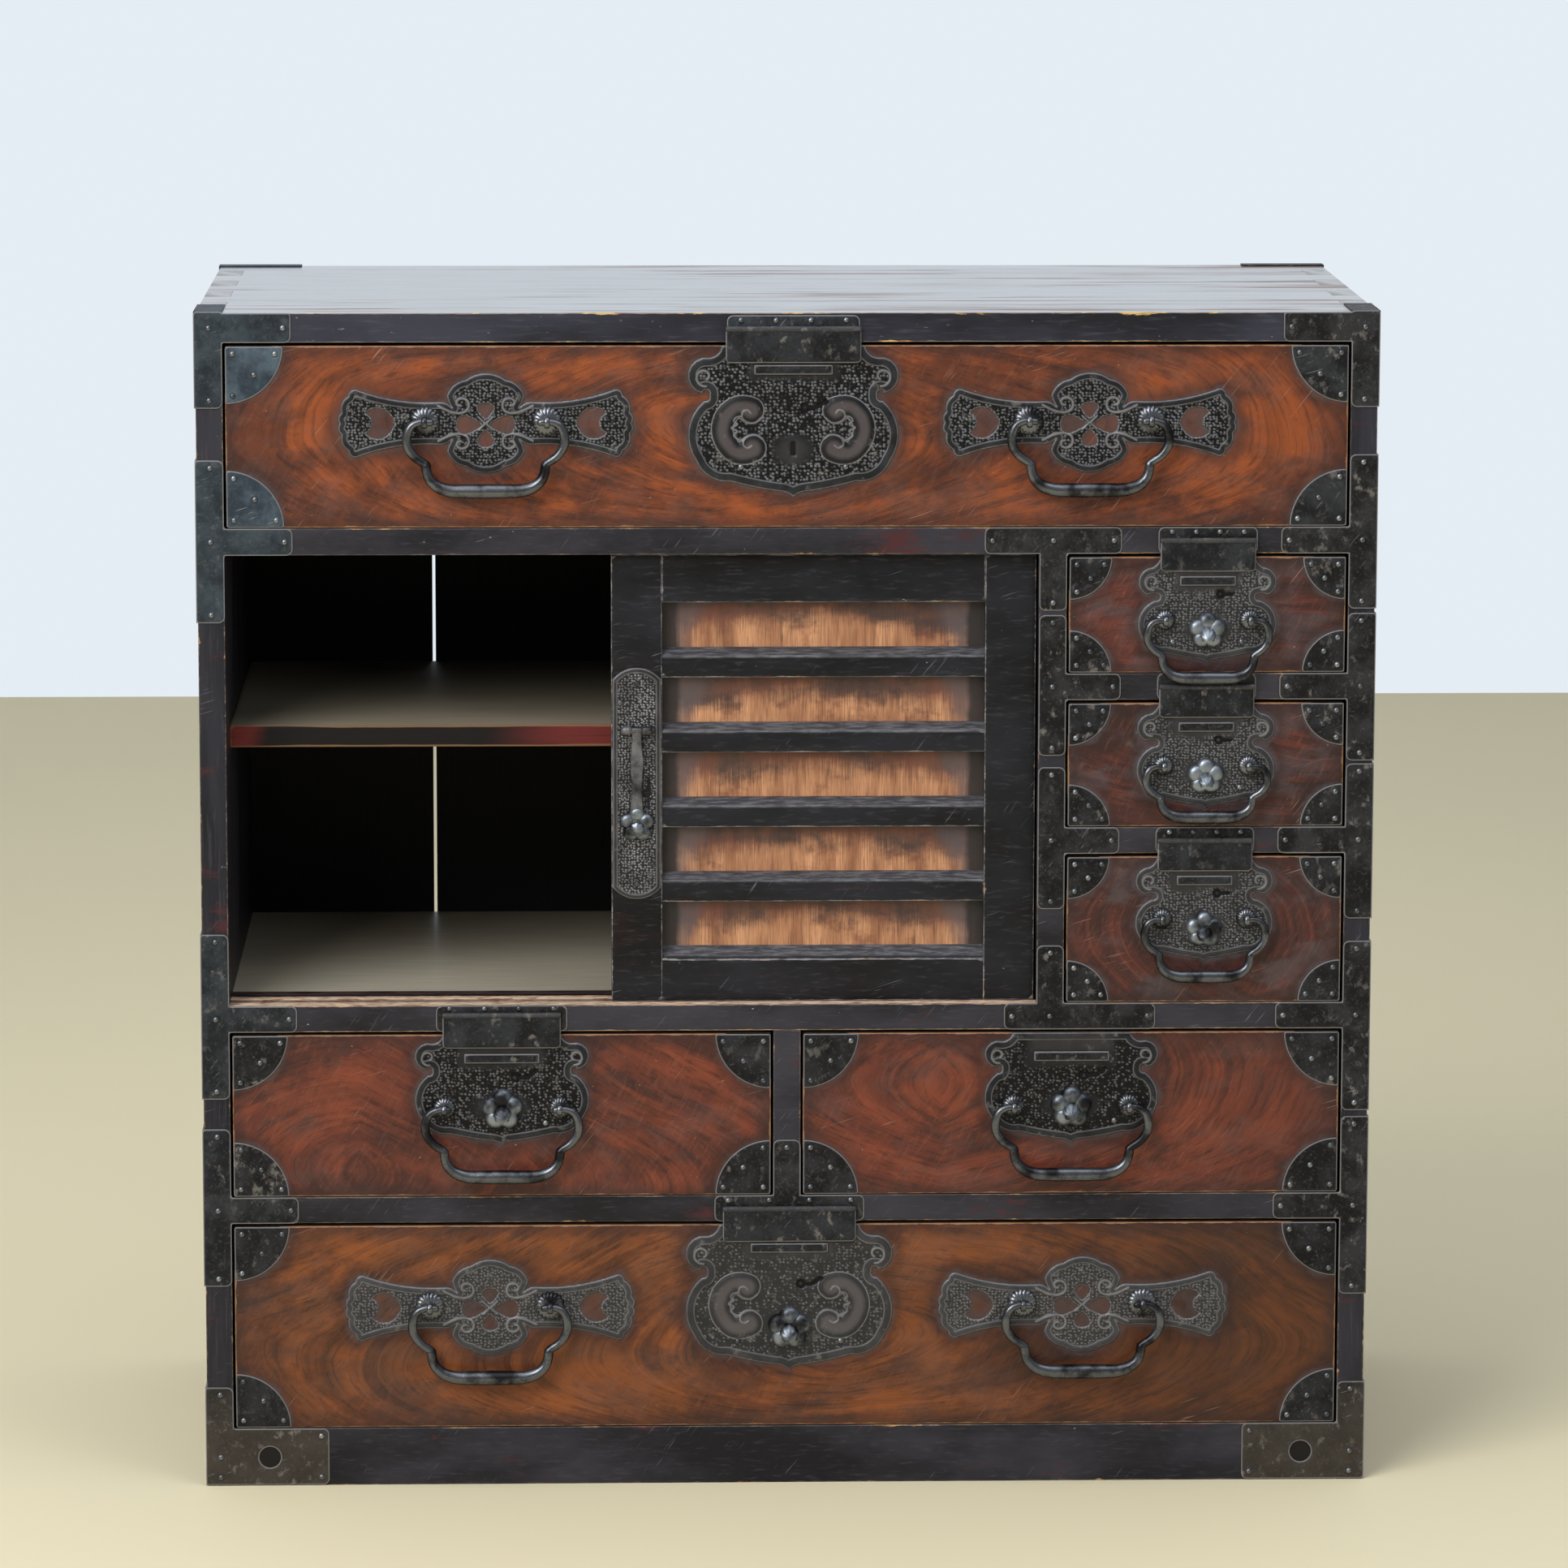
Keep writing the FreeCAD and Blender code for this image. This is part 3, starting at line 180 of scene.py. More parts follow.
def turned(profile, sides=24, flute=0.0, flutes=0):
    """Lathe shape with its axis towards the viewer: profile rows are (radius, height) and the radius
    swells and shrinks round the axis by a cosine where there are flutes."""
    profile = np.asarray(profile, float)
    turn = full_turn(sides)[None, :]
    radius = profile[:, :1] * (1 + flute * np.abs(np.cos(turn * flutes / 2)) - flute / 2)
    rings = np.stack([radius * np.cos(turn), np.broadcast_to(-profile[:, 1:], radius.shape),
                      radius * np.sin(turn)], -1)
    return skin(rings)


def board(low, high, rounding=0.7, pitch=45.0):
    """Box with rounded corners. Every point of a grid over the box is pulled in to the inner box and
    pushed out again by the rounding, along the line between the two."""
    axes = []
    for start, end in zip(low, high):
        near = min(4.0, (end - start) * 0.35)
        fill = np.linspace(start + near, end - near, max(2, int((end - start) / pitch) + 1))
        soft = [start, start + rounding * 0.3, start + rounding]
        hard = [end - rounding, end - rounding * 0.3, end]
        axes.append(np.unique(np.round(np.concatenate([soft, fill, hard]), 6)))
    counts = [len(axis) for axis in axes]
    number = np.arange(np.prod(counts)).reshape(counts)
    quads = []
    for axis in range(3):
        for side in (0, -1):
            sheet = np.take(number, side, axis=axis)
            quad = np.stack([sheet[:-1, :-1], sheet[1:, :-1], sheet[1:, 1:], sheet[:-1, 1:]], -1)
            if (side == 0) == (axis != 1):
                quad = quad[..., ::-1]
            quads.append(quad.reshape(-1, 4))
    used, faces = np.unique(np.concatenate(quads), return_inverse=True)
    i, j, k = np.unravel_index(used, counts)
    points = np.stack([axes[0][i], axes[1][j], axes[2][k]], -1)
    low = np.asarray(low, float)
    high = np.asarray(high, float)
    depth = np.sort(np.minimum(points - low, high - points), axis=1)
    core = np.clip(points, low + rounding, high - rounding)
    away = points - core
    reach = np.linalg.norm(away, axis=1)[:, None]
    points = core + away / np.maximum(reach, 1e-9) * np.where(reach > 0, rounding, 0)
    return Shape(points, [faces.reshape(-1, 4)], {"arris": depth[:, 1]})


def rounded_loop(corners, rounding):
    """Closed outline with its corners rounded: each corner gives way to an entry, a middle and an exit
    point, with one more point on either side where wear fades out. Also each point's corner distance."""
    corners = np.asarray(corners, float)
    after = np.roll(corners, -1, 0)
    if np.sum(corners[:, 0] * after[:, 1] - corners[:, 1] * after[:, 0]) < 0:
        corners = corners[::-1]
        after = np.roll(corners, -1, 0)
    before = np.roll(corners, 1, 0)
    back = np.linalg.norm(before - corners, axis=1)[:, None]
    ahead = np.linalg.norm(after - corners, axis=1)[:, None]
    to_back = (before - corners) / back
    to_ahead = (after - corners) / ahead
    cut = np.minimum(rounding, 0.3 * np.minimum(back, ahead))
    near_back = np.minimum(4.0, 0.45 * back)
    near_ahead = np.minimum(4.0, 0.45 * ahead)
    middle = corners + (to_back + to_ahead) * cut * 0.3
    rows = [corners + to_back * near_back, corners + to_back * cut, middle,
            corners + to_ahead * cut, corners + to_ahead * near_ahead]
    wear = [near_back, cut, cut * 0, cut, near_ahead]
    return np.stack(rows, 1).reshape(-1, 2), np.stack(wear, 1).reshape(-1)


def carried(corners, x0, x1, rounding=0.6, pitch=45.0):
    """Outline in (y, z) with rounded corners, carried along X between x0 and x1 and closed at the ends."""
    loop, wear = rounded_loop(corners, rounding)
    inset = min(4.0, (x1 - x0) * 0.3)
    fill = np.linspace(x0 + inset, x1 - inset, max(2, int((x1 - x0) / pitch)))
    xs = np.concatenate([[x0], fill, [x1]])
    rings = np.empty((len(xs), len(loop), 3))
    rings[:, :, 0] = xs[:, None]
    rings[:, :, 1:] = loop[None]
    ends = np.minimum(xs - x0, x1 - xs)[:, None]
    marks = np.minimum(np.broadcast_to(wear[None], rings.shape[:2]), np.maximum(ends, 0) + 1.0)
    return skin(rings, {"arris": marks.reshape(-1)})


# Outlines and distances in the plane of the front
def arc(start, middle, end, count=9):
    """Points on the circle through three points, from just after the start to the end."""
    (ax, ay), (bx, by), (cx, cy) = start, middle, end
    turn = 2 * (ax * (by - cy) + bx * (cy - ay) + cx * (ay - by))
    a2, b2, c2 = ax * ax + ay * ay, bx * bx + by * by, cx * cx + cy * cy
    ux = (a2 * (by - cy) + b2 * (cy - ay) + c2 * (ay - by)) / turn
    uy = (a2 * (cx - bx) + b2 * (ax - cx) + c2 * (bx - ax)) / turn
    radius = math.hypot(ax - ux, ay - uy)
    first = math.atan2(ay - uy, ax - ux)
    sweep = math.atan2(cy - uy, cx - ux) - first
    half = math.atan2(by - uy, bx - ux) - first
    sweep %= 2 * math.pi
    if half % (2 * math.pi) > sweep:
        sweep -= 2 * math.pi
    turns = first + sweep * np.linspace(0, 1, count)[1:]
    return np.stack([ux + radius * np.cos(turns), uy + radius * np.sin(turns)], -1)


def traced(start, steps, scale_x, scale_z):
    """Points along a path of lines (x, z) and arcs (middle x, middle z, x, z), given in shares."""
    scale = np.array([scale_x, scale_z])
    here = np.array(start) * scale
    rows = [here[None]]
    for step in steps:
        pairs = np.array(step).reshape(-1, 2) * scale
        rows.append(pairs if len(pairs) == 1 else arc(here, pairs[0], pairs[1]))
        here = pairs[-1]
    return np.concatenate(rows)


def mirrored(line, x_sign, z_sign):
    """The line walked backwards on the other side of an axis, without the point the two share."""
    return (line * np.array([x_sign, z_sign]))[::-1][1:]


def in_blocks(work, x, z):
    """The same work on blocks of points, so that the tables of distances stay small."""
    flat_x = np.ravel(x)
    flat_z = np.ravel(z)
    blocks = range(0, len(flat_x), 4096)
    found = [work(flat_x[at:at + 4096, None], flat_z[at:at + 4096, None]) for at in blocks]
    return np.concatenate(found).reshape(np.shape(x))


def outline_field(loops):
    """Distance to the nearest outline, above zero inside. A point is inside if a line from it to the
    right crosses the outlines an odd number of times."""
    a = np.concatenate([np.asarray(loop, float) for loop in loops])
    b = np.concatenate([np.roll(np.asarray(loop, float), -1, 0) for loop in loops])
    run = b - a
    size = np.maximum((run ** 2).sum(1), 1e-12)
    tall = np.where(np.abs(run[:, 1]) < 1e-12, 1e-12, run[:, 1])

    def work(x, z):
        px, pz = x - a[:, 0], z - a[:, 1]
        t = np.clip((px * run[:, 0] + pz * run[:, 1]) / size, 0, 1)
        gap = np.hypot(px - t * run[:, 0], pz - t * run[:, 1]).min(1)
        spans = (a[:, 1] > z) != (b[:, 1] > z)
        crossed = spans & (x < a[:, 0] + run[:, 0] * (z - a[:, 1]) / tall)
        return np.where(crossed.sum(1) % 2 == 1, gap, -gap)

    return lambda x, z: in_blocks(work, x, z)


def line_field(lines):
    """Distance to the nearest of several open lines; each point of a line is (x, z, half width), and
    the half width at the nearest place is taken off, so the field is below zero on the line's body."""
    a = np.concatenate([np.asarray(line, float)[:-1] for line in lines])
    b = np.concatenate([np.asarray(line, float)[1:] for line in lines])
    run = b - a
    size = np.maximum((run[:, :2] ** 2).sum(1), 1e-12)

    def work(x, z):
        px, pz = x - a[:, 0], z - a[:, 1]
        t = np.clip((px * run[:, 0] + pz * run[:, 1]) / size, 0, 1)
        gap = np.hypot(px - t * run[:, 0], pz - t * run[:, 1]) - (a[:, 2] + t * run[:, 2])
        return gap.min(1)

    return lambda x, z: in_blocks(work, x, z)


def box_field(x0, x1, z0, z1, radius=0.0, corners="bl br tr tl"):
    """Distance inside a rectangle whose named corners are rounded."""
    cx, cz, hx, hz = (x0 + x1) / 2, (z0 + z1) / 2, (x1 - x0) / 2, (z1 - z0) / 2
    names = (("bl", "tl"), ("br", "tr"))

    def work(x, z):
        rounds = np.zeros(np.shape(x))
        for right in (0, 1):
            for up in (0, 1):
                here = ((x > cx) == bool(right)) & ((z > cz) == bool(up))
                rounds = np.where(here, radius if names[right][up] in corners else 0.01, rounds)
        qx = np.abs(x - cx) - hx + rounds
        qz = np.abs(z - cz) - hz + rounds
        outside = np.hypot(np.maximum(qx, 0), np.maximum(qz, 0))
        return -(np.minimum(np.maximum(qx, qz), 0) + outside - rounds)

    return work


def eased(value, low, high):
    """Rises smoothly from 0 at low to 1 at high."""
    t = np.clip((value - low) / (high - low), 0, 1)
    return t * t * (3 - 2 * t)


# For each of the 16 ways a square's corners can lie inside: the kept faces, by corner (0 to 3) and by
# the crossing on each side (4 to 7), then the directed cuts
square_faces = {
    1: [(0, 4, 7)], 2: [(1, 5, 4)], 3: [(0, 1, 5, 7)], 4: [(2, 6, 5)], 5: [(0, 4, 7), (2, 6, 5)],
    6: [(1, 2, 6, 4)], 7: [(0, 1, 2, 6, 7)], 8: [(3, 7, 6)], 9: [(0, 4, 6, 3)],
    10: [(1, 5, 4), (3, 7, 6)], 11: [(0, 1, 5, 6, 3)], 12: [(2, 3, 7, 5)], 13: [(0, 4, 5, 2, 3)],
    14: [(1, 2, 3, 7, 4)], 15: [(0, 1, 2, 3)],
}
square_cuts = {
    1: [(4, 7)], 2: [(5, 4)], 3: [(5, 7)], 4: [(6, 5)], 5: [(4, 7), (6, 5)], 6: [(6, 4)], 7: [(6, 7)],
    8: [(7, 6)], 9: [(4, 6)], 10: [(5, 4), (7, 6)], 11: [(5, 6)], 12: [(7, 5)], 13: [(4, 5)],
    14: [(7, 4)],
}


def numbered(mask, start):
    """Numbers from start on where the mask holds and -1 elsewhere, and the next free number."""
    number = np.full(mask.shape, -1)
    number[mask] = start + np.arange(mask.sum())
    return number, start + int(mask.sum())


def crossing(first, second, crossed):
    """Share of the way between two values at which they pass zero, kept clear of both ends."""
    return np.clip(first / np.where(crossed, first - second, 1), 0.06, 0.94)


def cut_sheet(field, span, pitch, back, height, marks):
    """Sheet facing the viewer, cut where field(x, z) is zero. Squares of a grid that lie inside are
    kept whole, and those on the line are cut at the crossings found on their sides. The front lies
    height(x, z, field) before the plane back, the rear in that plane, and walls join the two."""
    x0, x1, z0, z1 = span
    xs = np.arange(x0 - pitch, x1 + 2 * pitch, pitch)
    zs = np.arange(z0 - pitch, z1 + 2 * pitch, pitch)
    gx, gz = np.meshgrid(xs, zs, indexing="ij")
    value = field(gx, gz)
    value = np.where(np.abs(value) < 1e-4, 1e-4, value)
    inside = value > 0
    number, total = numbered(inside, 0)
    across = inside[:-1] != inside[1:]
    across_x = (gx[:-1] + crossing(value[:-1], value[1:], across) * pitch)[across]
    across_number, total = numbered(across, total)
    upward = inside[:, :-1] != inside[:, 1:]
    upward_z = (gz[:, :-1] + crossing(value[:, :-1], value[:, 1:], upward) * pitch)[upward]
    upward_number, total = numbered(upward, total)
    slots = np.stack([number[:-1, :-1], number[1:, :-1], number[1:, 1:], number[:-1, 1:],
                      across_number[:, :-1], upward_number[1:], across_number[:, 1:], upward_number[:-1]])
    kind = sum(inside[i:i + len(xs) - 1, j:j + len(zs) - 1] * weight
               for weight, i, j in ((1, 0, 0), (2, 1, 0), (4, 1, 1), (8, 0, 1)))
    faces = {3: [], 4: [], 5: []}
    cuts = []
    for case, polygons in square_faces.items():
        here = kind == case
        for polygon in polygons:
            faces[len(polygon)].append(slots[list(polygon)][:, here].T)
        for ends in square_cuts.get(case, []):
            cuts.append(slots[list(ends)][:, here].T)
    px = np.clip(np.concatenate([gx[inside], across_x, gx[:, :-1][upward]]), x0, x1)
    pz = np.clip(np.concatenate([gz[inside], gz[:-1][across], upward_z]), z0, z1)
    rim = np.concatenate([value[inside], np.zeros(total - int(inside.sum()))])
    front = np.stack([px, back - height(px, pz, rim), pz], -1)
    rear = np.stack([px, np.full(len(px), back), pz], -1)
    kept = [np.concatenate(rows) for rows in faces.values() if rows]
    edge = np.concatenate(cuts)
    wall = np.stack([edge[:, 1], edge[:, 0], edge[:, 0] + total, edge[:, 1] + total], -1)
    found = {"rim": rim, **{name: work(px, pz) for name, work in marks.items()}}
    both = {name: np.concatenate([values, values]) for name, values in found.items()}
    rear_faces = [rows[:, ::-1] + total for rows in kept]
    return Shape(np.concatenate([front, rear]), kept + rear_faces + [wall], both)


# Materials
def tone(red, green, blue):
    """A colour given as it looks on screen, from 0 to 255, turned into the light values a shader uses."""
    parts = np.array([red, green, blue]) / 255
    light = np.where(parts <= 0.04045, parts / 12.92, ((parts + 0.055) / 1.055) ** 2.4)
    return tuple(light) + (1.0,)


class Value:
    """One socket of a material. Each sum, product or comparison with it adds the node that does it."""

    def __init__(self, paint, socket):
        self.paint = paint
        self.socket = socket

    def rise(self, low, high):
        """Smooth step from 0 at low to 1 at high, or the other way round where low is above high."""
        ends = (low, high, 0.0, 1.0) if low < high else (high, low, 1.0, 0.0)
        names = ("From Min", "From Max", "To Min", "To Max")
        inputs = dict(zip(names, ends), Value=self)
        return self.paint.node("ShaderNodeMapRange", {"interpolation_type": "SMOOTHSTEP"}, inputs)

    def under(self, share, *colour):
        """This colour with a share of another over it, which is given as it looks on screen."""
        return self.paint.mix(share, self, tone(*colour))


def sums(operation):
    """The two methods for a sign between two values: one for each side that a Value can be on."""
    return (lambda value, other: value.paint.math(operation, value, other),
            lambda value, other: value.paint.math(operation, other, value))


for sign, operation in (("add", "ADD"), ("sub", "SUBTRACT"), ("mul", "MULTIPLY"), ("truediv", "DIVIDE"),
                        ("pow", "POWER"), ("least", "MINIMUM"), ("most", "MAXIMUM")):
    method, turned_round = sums(operation)
    if sign in ("least", "most"):
        setattr(Value, sign, method)
    else:
        setattr(Value, f"__{sign}__", method)
        setattr(Value, f"__r{sign}__", turned_round)
Value.size = lambda value: value.paint.math("ABSOLUTE", value)
Value.part = lambda value: value.paint.math("FRACT", value)


class Paint:
    """One material, built up from nodes."""

    def __init__(self, name):
        self.material = bpy.data.materials.new(name)
        self.material.use_nodes = True
        self.tree = self.material.node_tree
        self.tree.nodes.clear()
        self.found = {}

    def node(self, kind, settings=None, inputs=None, output=0):
        """A node of this kind: its settings first, then its sockets by name or number."""
        made = self.tree.nodes.new(kind)
        for name, value in (settings or {}).items():
            setattr(made, name, value)
        for name, value in (inputs or {}).items():
            if isinstance(value, Value):
                self.tree.links.new(value.socket, made.inputs[name])
            else:
                made.inputs[name].default_value = value
        return Value(self, made.outputs[output]) if len(made.outputs) else None

    def math(self, operation, *values):
        """One sum, product or comparison of values."""
        return self.node("ShaderNodeMath", {"operation": operation}, dict(enumerate(values)))

    def place(self):
        """Position on the object, in millimetres."""
        if "place" not in self.found:
            where = self.node("ShaderNodeTexCoord", output="Object")
            inputs = {0: where, "Scale": 1 / MM}
            self.found["place"] = self.node("ShaderNodeVectorMath", {"operation": "SCALE"}, inputs)
        return self.found["place"]

    def axes(self):
        """The position's three numbers, each by itself."""
        if "axes" not in self.found:
            inputs = {0: self.place()}
            self.found["axes"] = [self.node("ShaderNodeSeparateXYZ", None, inputs, way) for way in range(3)]
        return self.found["axes"]

    def mark(self, name):
        """A number that the piece's points carry."""
        if name not in self.found:
            self.found[name] = self.node("ShaderNodeAttribute", {"attribute_name": name}, None, "Fac")
        return self.found[name]

    def laid(self, size, stretch=(1, 1, 1), turn=0.0, seed=0.0):
        """Position turned about Y and measured in lengths of size times stretch along each axis."""
        scale = [size * part for part in stretch]
        shift = (-seed * scale[0], -seed * 0.7 * scale[1], seed * scale[2])
        inputs = {"Vector": self.place(), "Location": shift, "Scale": scale}
        inputs["Rotation"] = (0, math.radians(turn), 0)
        return self.node("ShaderNodeMapping", {"vector_type": "TEXTURE"}, inputs)

    def noise(self, size, stretch=(1, 1, 1), detail=3.0, rough=0.55, turn=0.0, seed=0.0, bend=0.0):
        """Cloudy values whose patches are about size times stretch long; the seed moves them elsewhere."""
        inputs = {
            "Vector": self.laid(size, stretch, turn, seed), "Scale": 1.0, "Detail": detail,
            "Roughness": rough, "Distortion": bend,
        }
        return self.node("ShaderNodeTexNoise", None, inputs)

    def cells(self, size, stretch, loose, seed):
        """Distance from the nearest of many scattered points."""
        inputs = {"Vector": self.laid(size, stretch, 0.0, seed), "Scale": 1.0, "Randomness": loose}
        return self.node("ShaderNodeTexVoronoi", None, inputs, "Distance")

    def mix(self, share, first, second):
        """Colour between two others."""
        inputs = {"Factor": share, 6: first, 7: second}
        return self.node("ShaderNodeMix", {"data_type": "RGBA"}, inputs, 2)

    def scratches(self, length, keep, seed=0.0):
        """Fine straight marks, steep ones where a broad noise is high and flat ones where it is low: the
        crests of noise drawn out along each direction."""
        steep = self.noise(0.9, (1, 1, length), 1, 0.5, turn=38.0, seed=seed).rise(0.70, 0.76)
        flat = self.noise(0.9, (length, 1, 1), 1, 0.5, turn=-17.0, seed=seed + 5).rise(0.70, 0.76)
        there = self.noise(70, seed=seed + 9)
        return (steep * there.rise(keep, keep + 0.10)).most(flat * there.rise(1.0 - keep, 0.90 - keep))

    def finish(self, colour, rough, metal=0.0, height=None, depth=0.3, coat=None, coat_rough=0.2,
               shine=0.5):
        """Closes the material; the bump stands depth millimetres high where height is 1."""
        inputs = {"Base Color": colour, "Roughness": rough, "Metallic": metal, "Specular IOR Level": shine}
        if coat is not None:
            inputs["Coat Weight"] = coat
            inputs["Coat Roughness"] = coat_rough
        if height is not None:
            bump = {"Height": height, "Strength": 1.0, "Distance": depth * MM}
            inputs["Normal"] = self.node("ShaderNodeBump", None, bump)
        shader = self.node("ShaderNodeBsdfPrincipled", None, inputs)
        self.node("ShaderNodeOutputMaterial", None, {"Surface": shader})
        return self.material


def arris_lines(across, depth, first, second):
    """Distance from two front arrises that run side by side."""
    aside = (across - first).size().least((across - second).size())
    ahead = depth - front_y
    return (aside * aside + ahead * ahead) ** 0.5


def side_arris(paint):
    """Distance from the front arrises of the two sides."""
    x, y, z = paint.axes()
    return arris_lines(x.size(), y, side_x, inner_x)


def top_arris(paint):
    """Distance from the front arrises of the top board."""
    x, y, z = paint.axes()
    return arris_lines(z, y, top_z, top_z - top_thick)


def frame_lacquer(name, arris=None, seed=0.0, red=0.6, pale=1.0, inside=None,
                  dark=tone(22, 22, 27), light=tone(54, 53, 61), top_face=2000.0,
                  bevelled=False, chips=0.85, line_tone=tone(124, 110, 104), holes=False, upright=False):
    """Near-black lacquer with a blue cast, rubbed through to reddish brown in spots and to pale wood on
    the arrises. The arris distance is the piece's own mark, or the one given. Where inside is given, it
    is the height above which the board's face is bare grey wood, with cream ridges in front and painted
    shade in the front door track and from the rear track back. Above top_face the board's end shows, worn
    grey-brown and glossy like the top. Bevelled lacquer is lighter grey on the sloped upper faces of the
    slats. With holes, the board is painted black behind the holes in the foot plates, as shade in the
    holes. An upright board's streaks run up it."""
    paint = Paint(name)
    x, y, z = paint.axes()
    edge = paint.mark("arris") if arris is None else arris(paint)
    cloud = paint.noise(40 if upright else 80, (1, 1, 9) if upright else (2.4, 1, 1), 5, 0.6, seed=seed)
    fine = paint.noise(2.4, (1, 1, 16) if upright else (6, 1, 1), 4, 0.64, seed=seed + 2)
    body = paint.mix(cloud.rise(0.34, 0.7), dark, light)
    body = body.under(fine.rise(0.52, 0.75) * 0.3, 80, 77, 85)
    bare = paint.noise(46, (2.2, 1, 0.6), 6, 0.7, seed=seed + 4).rise(0.58, 0.68)
    body = body.under(bare * red, 74, 36, 38)
    ragged = paint.noise(13, (2.5, 1, 1), 5, 0.7, seed=seed + 7)
    thin = paint.noise(2.4, (5, 1, 1), 3, 0.6, seed=seed + 12)
    line = (edge - (thin - 0.42) * 2.2).rise(0.7, 0.25) * (0.20 + ragged.rise(0.42, 0.60) * 0.5)
    worn = (edge - (ragged - 0.60) * 14.0).rise(0.8, 0.1)
    body = paint.mix(line * pale, body, line_tone)
    bared = paint.mix(thin.rise(0.4, 0.6), tone(116, 80, 60), tone(180, 146, 100))
    body = paint.mix(worn * chips, body, bared)
    speck = paint.noise(3.6, (2.0, 1, 1), 3, 0.6, seed=seed + 15).rise(0.735, 0.775)
    body = body.under(speck * 0.7 * pale, 152, 144, 142)
    marks = paint.scratches(30, 0.54, seed)
    body = body.under(marks * 0.45, 128, 124, 130)
    if inside is not None:
        beside = x.rise(cupboard_right + 0.5, cupboard_right - 0.5)
        grain = paint.noise(2.4, (26, 1, 1), 4, 0.6, seed=seed + 21)
        wood = paint.mix(grain, tone(140, 134, 120), tone(196, 188, 170))
        behind = y.rise(-158.0, -156.0) * z.rise(inside - 1.0, inside - 0.2) * beside
        body = paint.mix(behind, body, wood)
        sill = y.rise(face_y, face_y + 1.0) * y.rise(-148.0, -151.0) * z.rise(inside - 4.0, inside - 0.4)
        cream = paint.mix(thin.rise(0.36, 0.56), tone(150, 112, 90), tone(232, 204, 176))
        groove_middle = -188.0
        # Painted shade in the front door track, and darker painted shade from the rear track back.
        cream = cream.under((y - groove_middle).size().rise(6.6, 5.6), 70, 44, 38)
        cream = cream.under(y.rise(-172.0, -171.0), 38, 22, 23)
        body = paint.mix(sill * beside * (0.70 + ragged * 0.5), body, cream)
    if bevelled:
        # Lighter grey on the sloped upper faces of the slats.
        share = ((z - slat_foot) / slat_pitch).part()
        within = z.rise(690.0, 689.0) * (x - door_middle).size().rise(124.5, 124.0)
        upper_face_grey = paint.mix(fine.rise(0.4, 0.65), tone(62, 62, 67), tone(104, 104, 108))
        body = paint.mix(share.rise(0.86, 0.89) * within * (0.55 + ragged * 0.5), body, upper_face_grey)
    if holes:
        # Painted shade: the board is black behind the holes in the foot plates.
        out = ((x.size() - foot_hole_x) ** 2.0 + (z - foot_hole_z) ** 2.0) ** 0.5
        body = body.under(out.rise(8.4, 8.0), 22, 20, 20)
    end = z.rise(top_face - 0.3, top_face)
    dull = paint.mix(ragged.rise(0.4, 0.6), tone(98, 84, 76), tone(120, 116, 114))
    body = paint.mix(end * 0.85, body, dull)
    rough = 0.36 + cloud * 0.16 + worn * 0.3 - end * 0.2
    height = fine * 0.25 - worn * 0.8 - marks * 0.4 - speck * 0.4
    coat = 0.08 - worn * 0.08 + end * 0.6
    return paint.finish(body, rough, height=height, depth=0.22, coat=coat, coat_rough=0.2, shine=0.18)


def top_lacquer():
    """Lacquer worn grey by use on the top face, streaked brown along the board, and black on the front."""
    paint = Paint("top_lacquer")
    x, y, z = paint.axes()
    edge = top_arris(paint)
    streak = paint.noise(15, (20, 1, 1), 6, 0.66, bend=0.3)
    broad = paint.noise(110, (3.5, 1, 1), 4, 0.6, seed=3)
    grain = paint.noise(2.0, (50, 1, 1), 4, 0.6, seed=5)
    brown = (streak * 0.7 + broad * 0.3 + x * 0.00006).rise(0.52, 0.62)
    worn = paint.mix(brown, tone(120, 123, 129), tone(104, 66, 54))
    worn = worn.under(grain.rise(0.55, 0.75) * 0.6, 50, 36, 32)
    pale = paint.noise(9, (12, 1, 1), 5, 0.65, seed=11).rise(0.56, 0.70)
    worn = worn.under(pale * 0.5, 146, 148, 152)
    cloud = paint.noise(80, (2.4, 1, 1), 5, 0.6, seed=19)
    fine = paint.noise(3, (9, 1, 1), 4, 0.6, seed=23)
    dark = paint.mix(cloud.rise(0.34, 0.7), tone(20, 21, 30), tone(50, 51, 65))
    dark = dark.under(fine.rise(0.52, 0.75) * 0.35, 84, 82, 94)
    speck = paint.noise(3.0, (2.6, 1, 1), 3, 0.6, seed=27).rise(0.68, 0.74)
    dark = dark.under(speck * 0.7, 150, 138, 128)
    on_top = z.rise(top_z - 0.8, top_z - 0.2)
    body = paint.mix(on_top, dark, worn)
    ragged = paint.noise(14, (3.5, 1, 1), 5, 0.7, seed=7)
    thin = paint.noise(2.4, (6, 1, 1), 3, 0.6, seed=31)
    line = (edge - (thin - 0.40) * 2.4).rise(0.8, 0.25)
    body = body.under(line * 0.5, 150, 132, 120)
    rubbed = (edge - (ragged - 0.55) * 16.0).rise(0.9, 0.1)
    raw = paint.mix(thin.rise(0.38, 0.58), tone(128, 86, 56), tone(206, 172, 104))
    body = paint.mix(rubbed * 0.9, body, raw)
    matte = brown * 0.5 + grain.rise(0.5, 0.7) * 0.3
    rough = on_top * (0.24 + streak * 0.12 + matte * 0.40) + (1 - on_top) * 0.36
    coat = on_top * (0.95 - matte * 0.9) + (1 - on_top) * 0.1
    return paint.finish(body, rough, height=grain + streak, depth=0.22, coat=coat, coat_rough=0.22, shine=0.3)


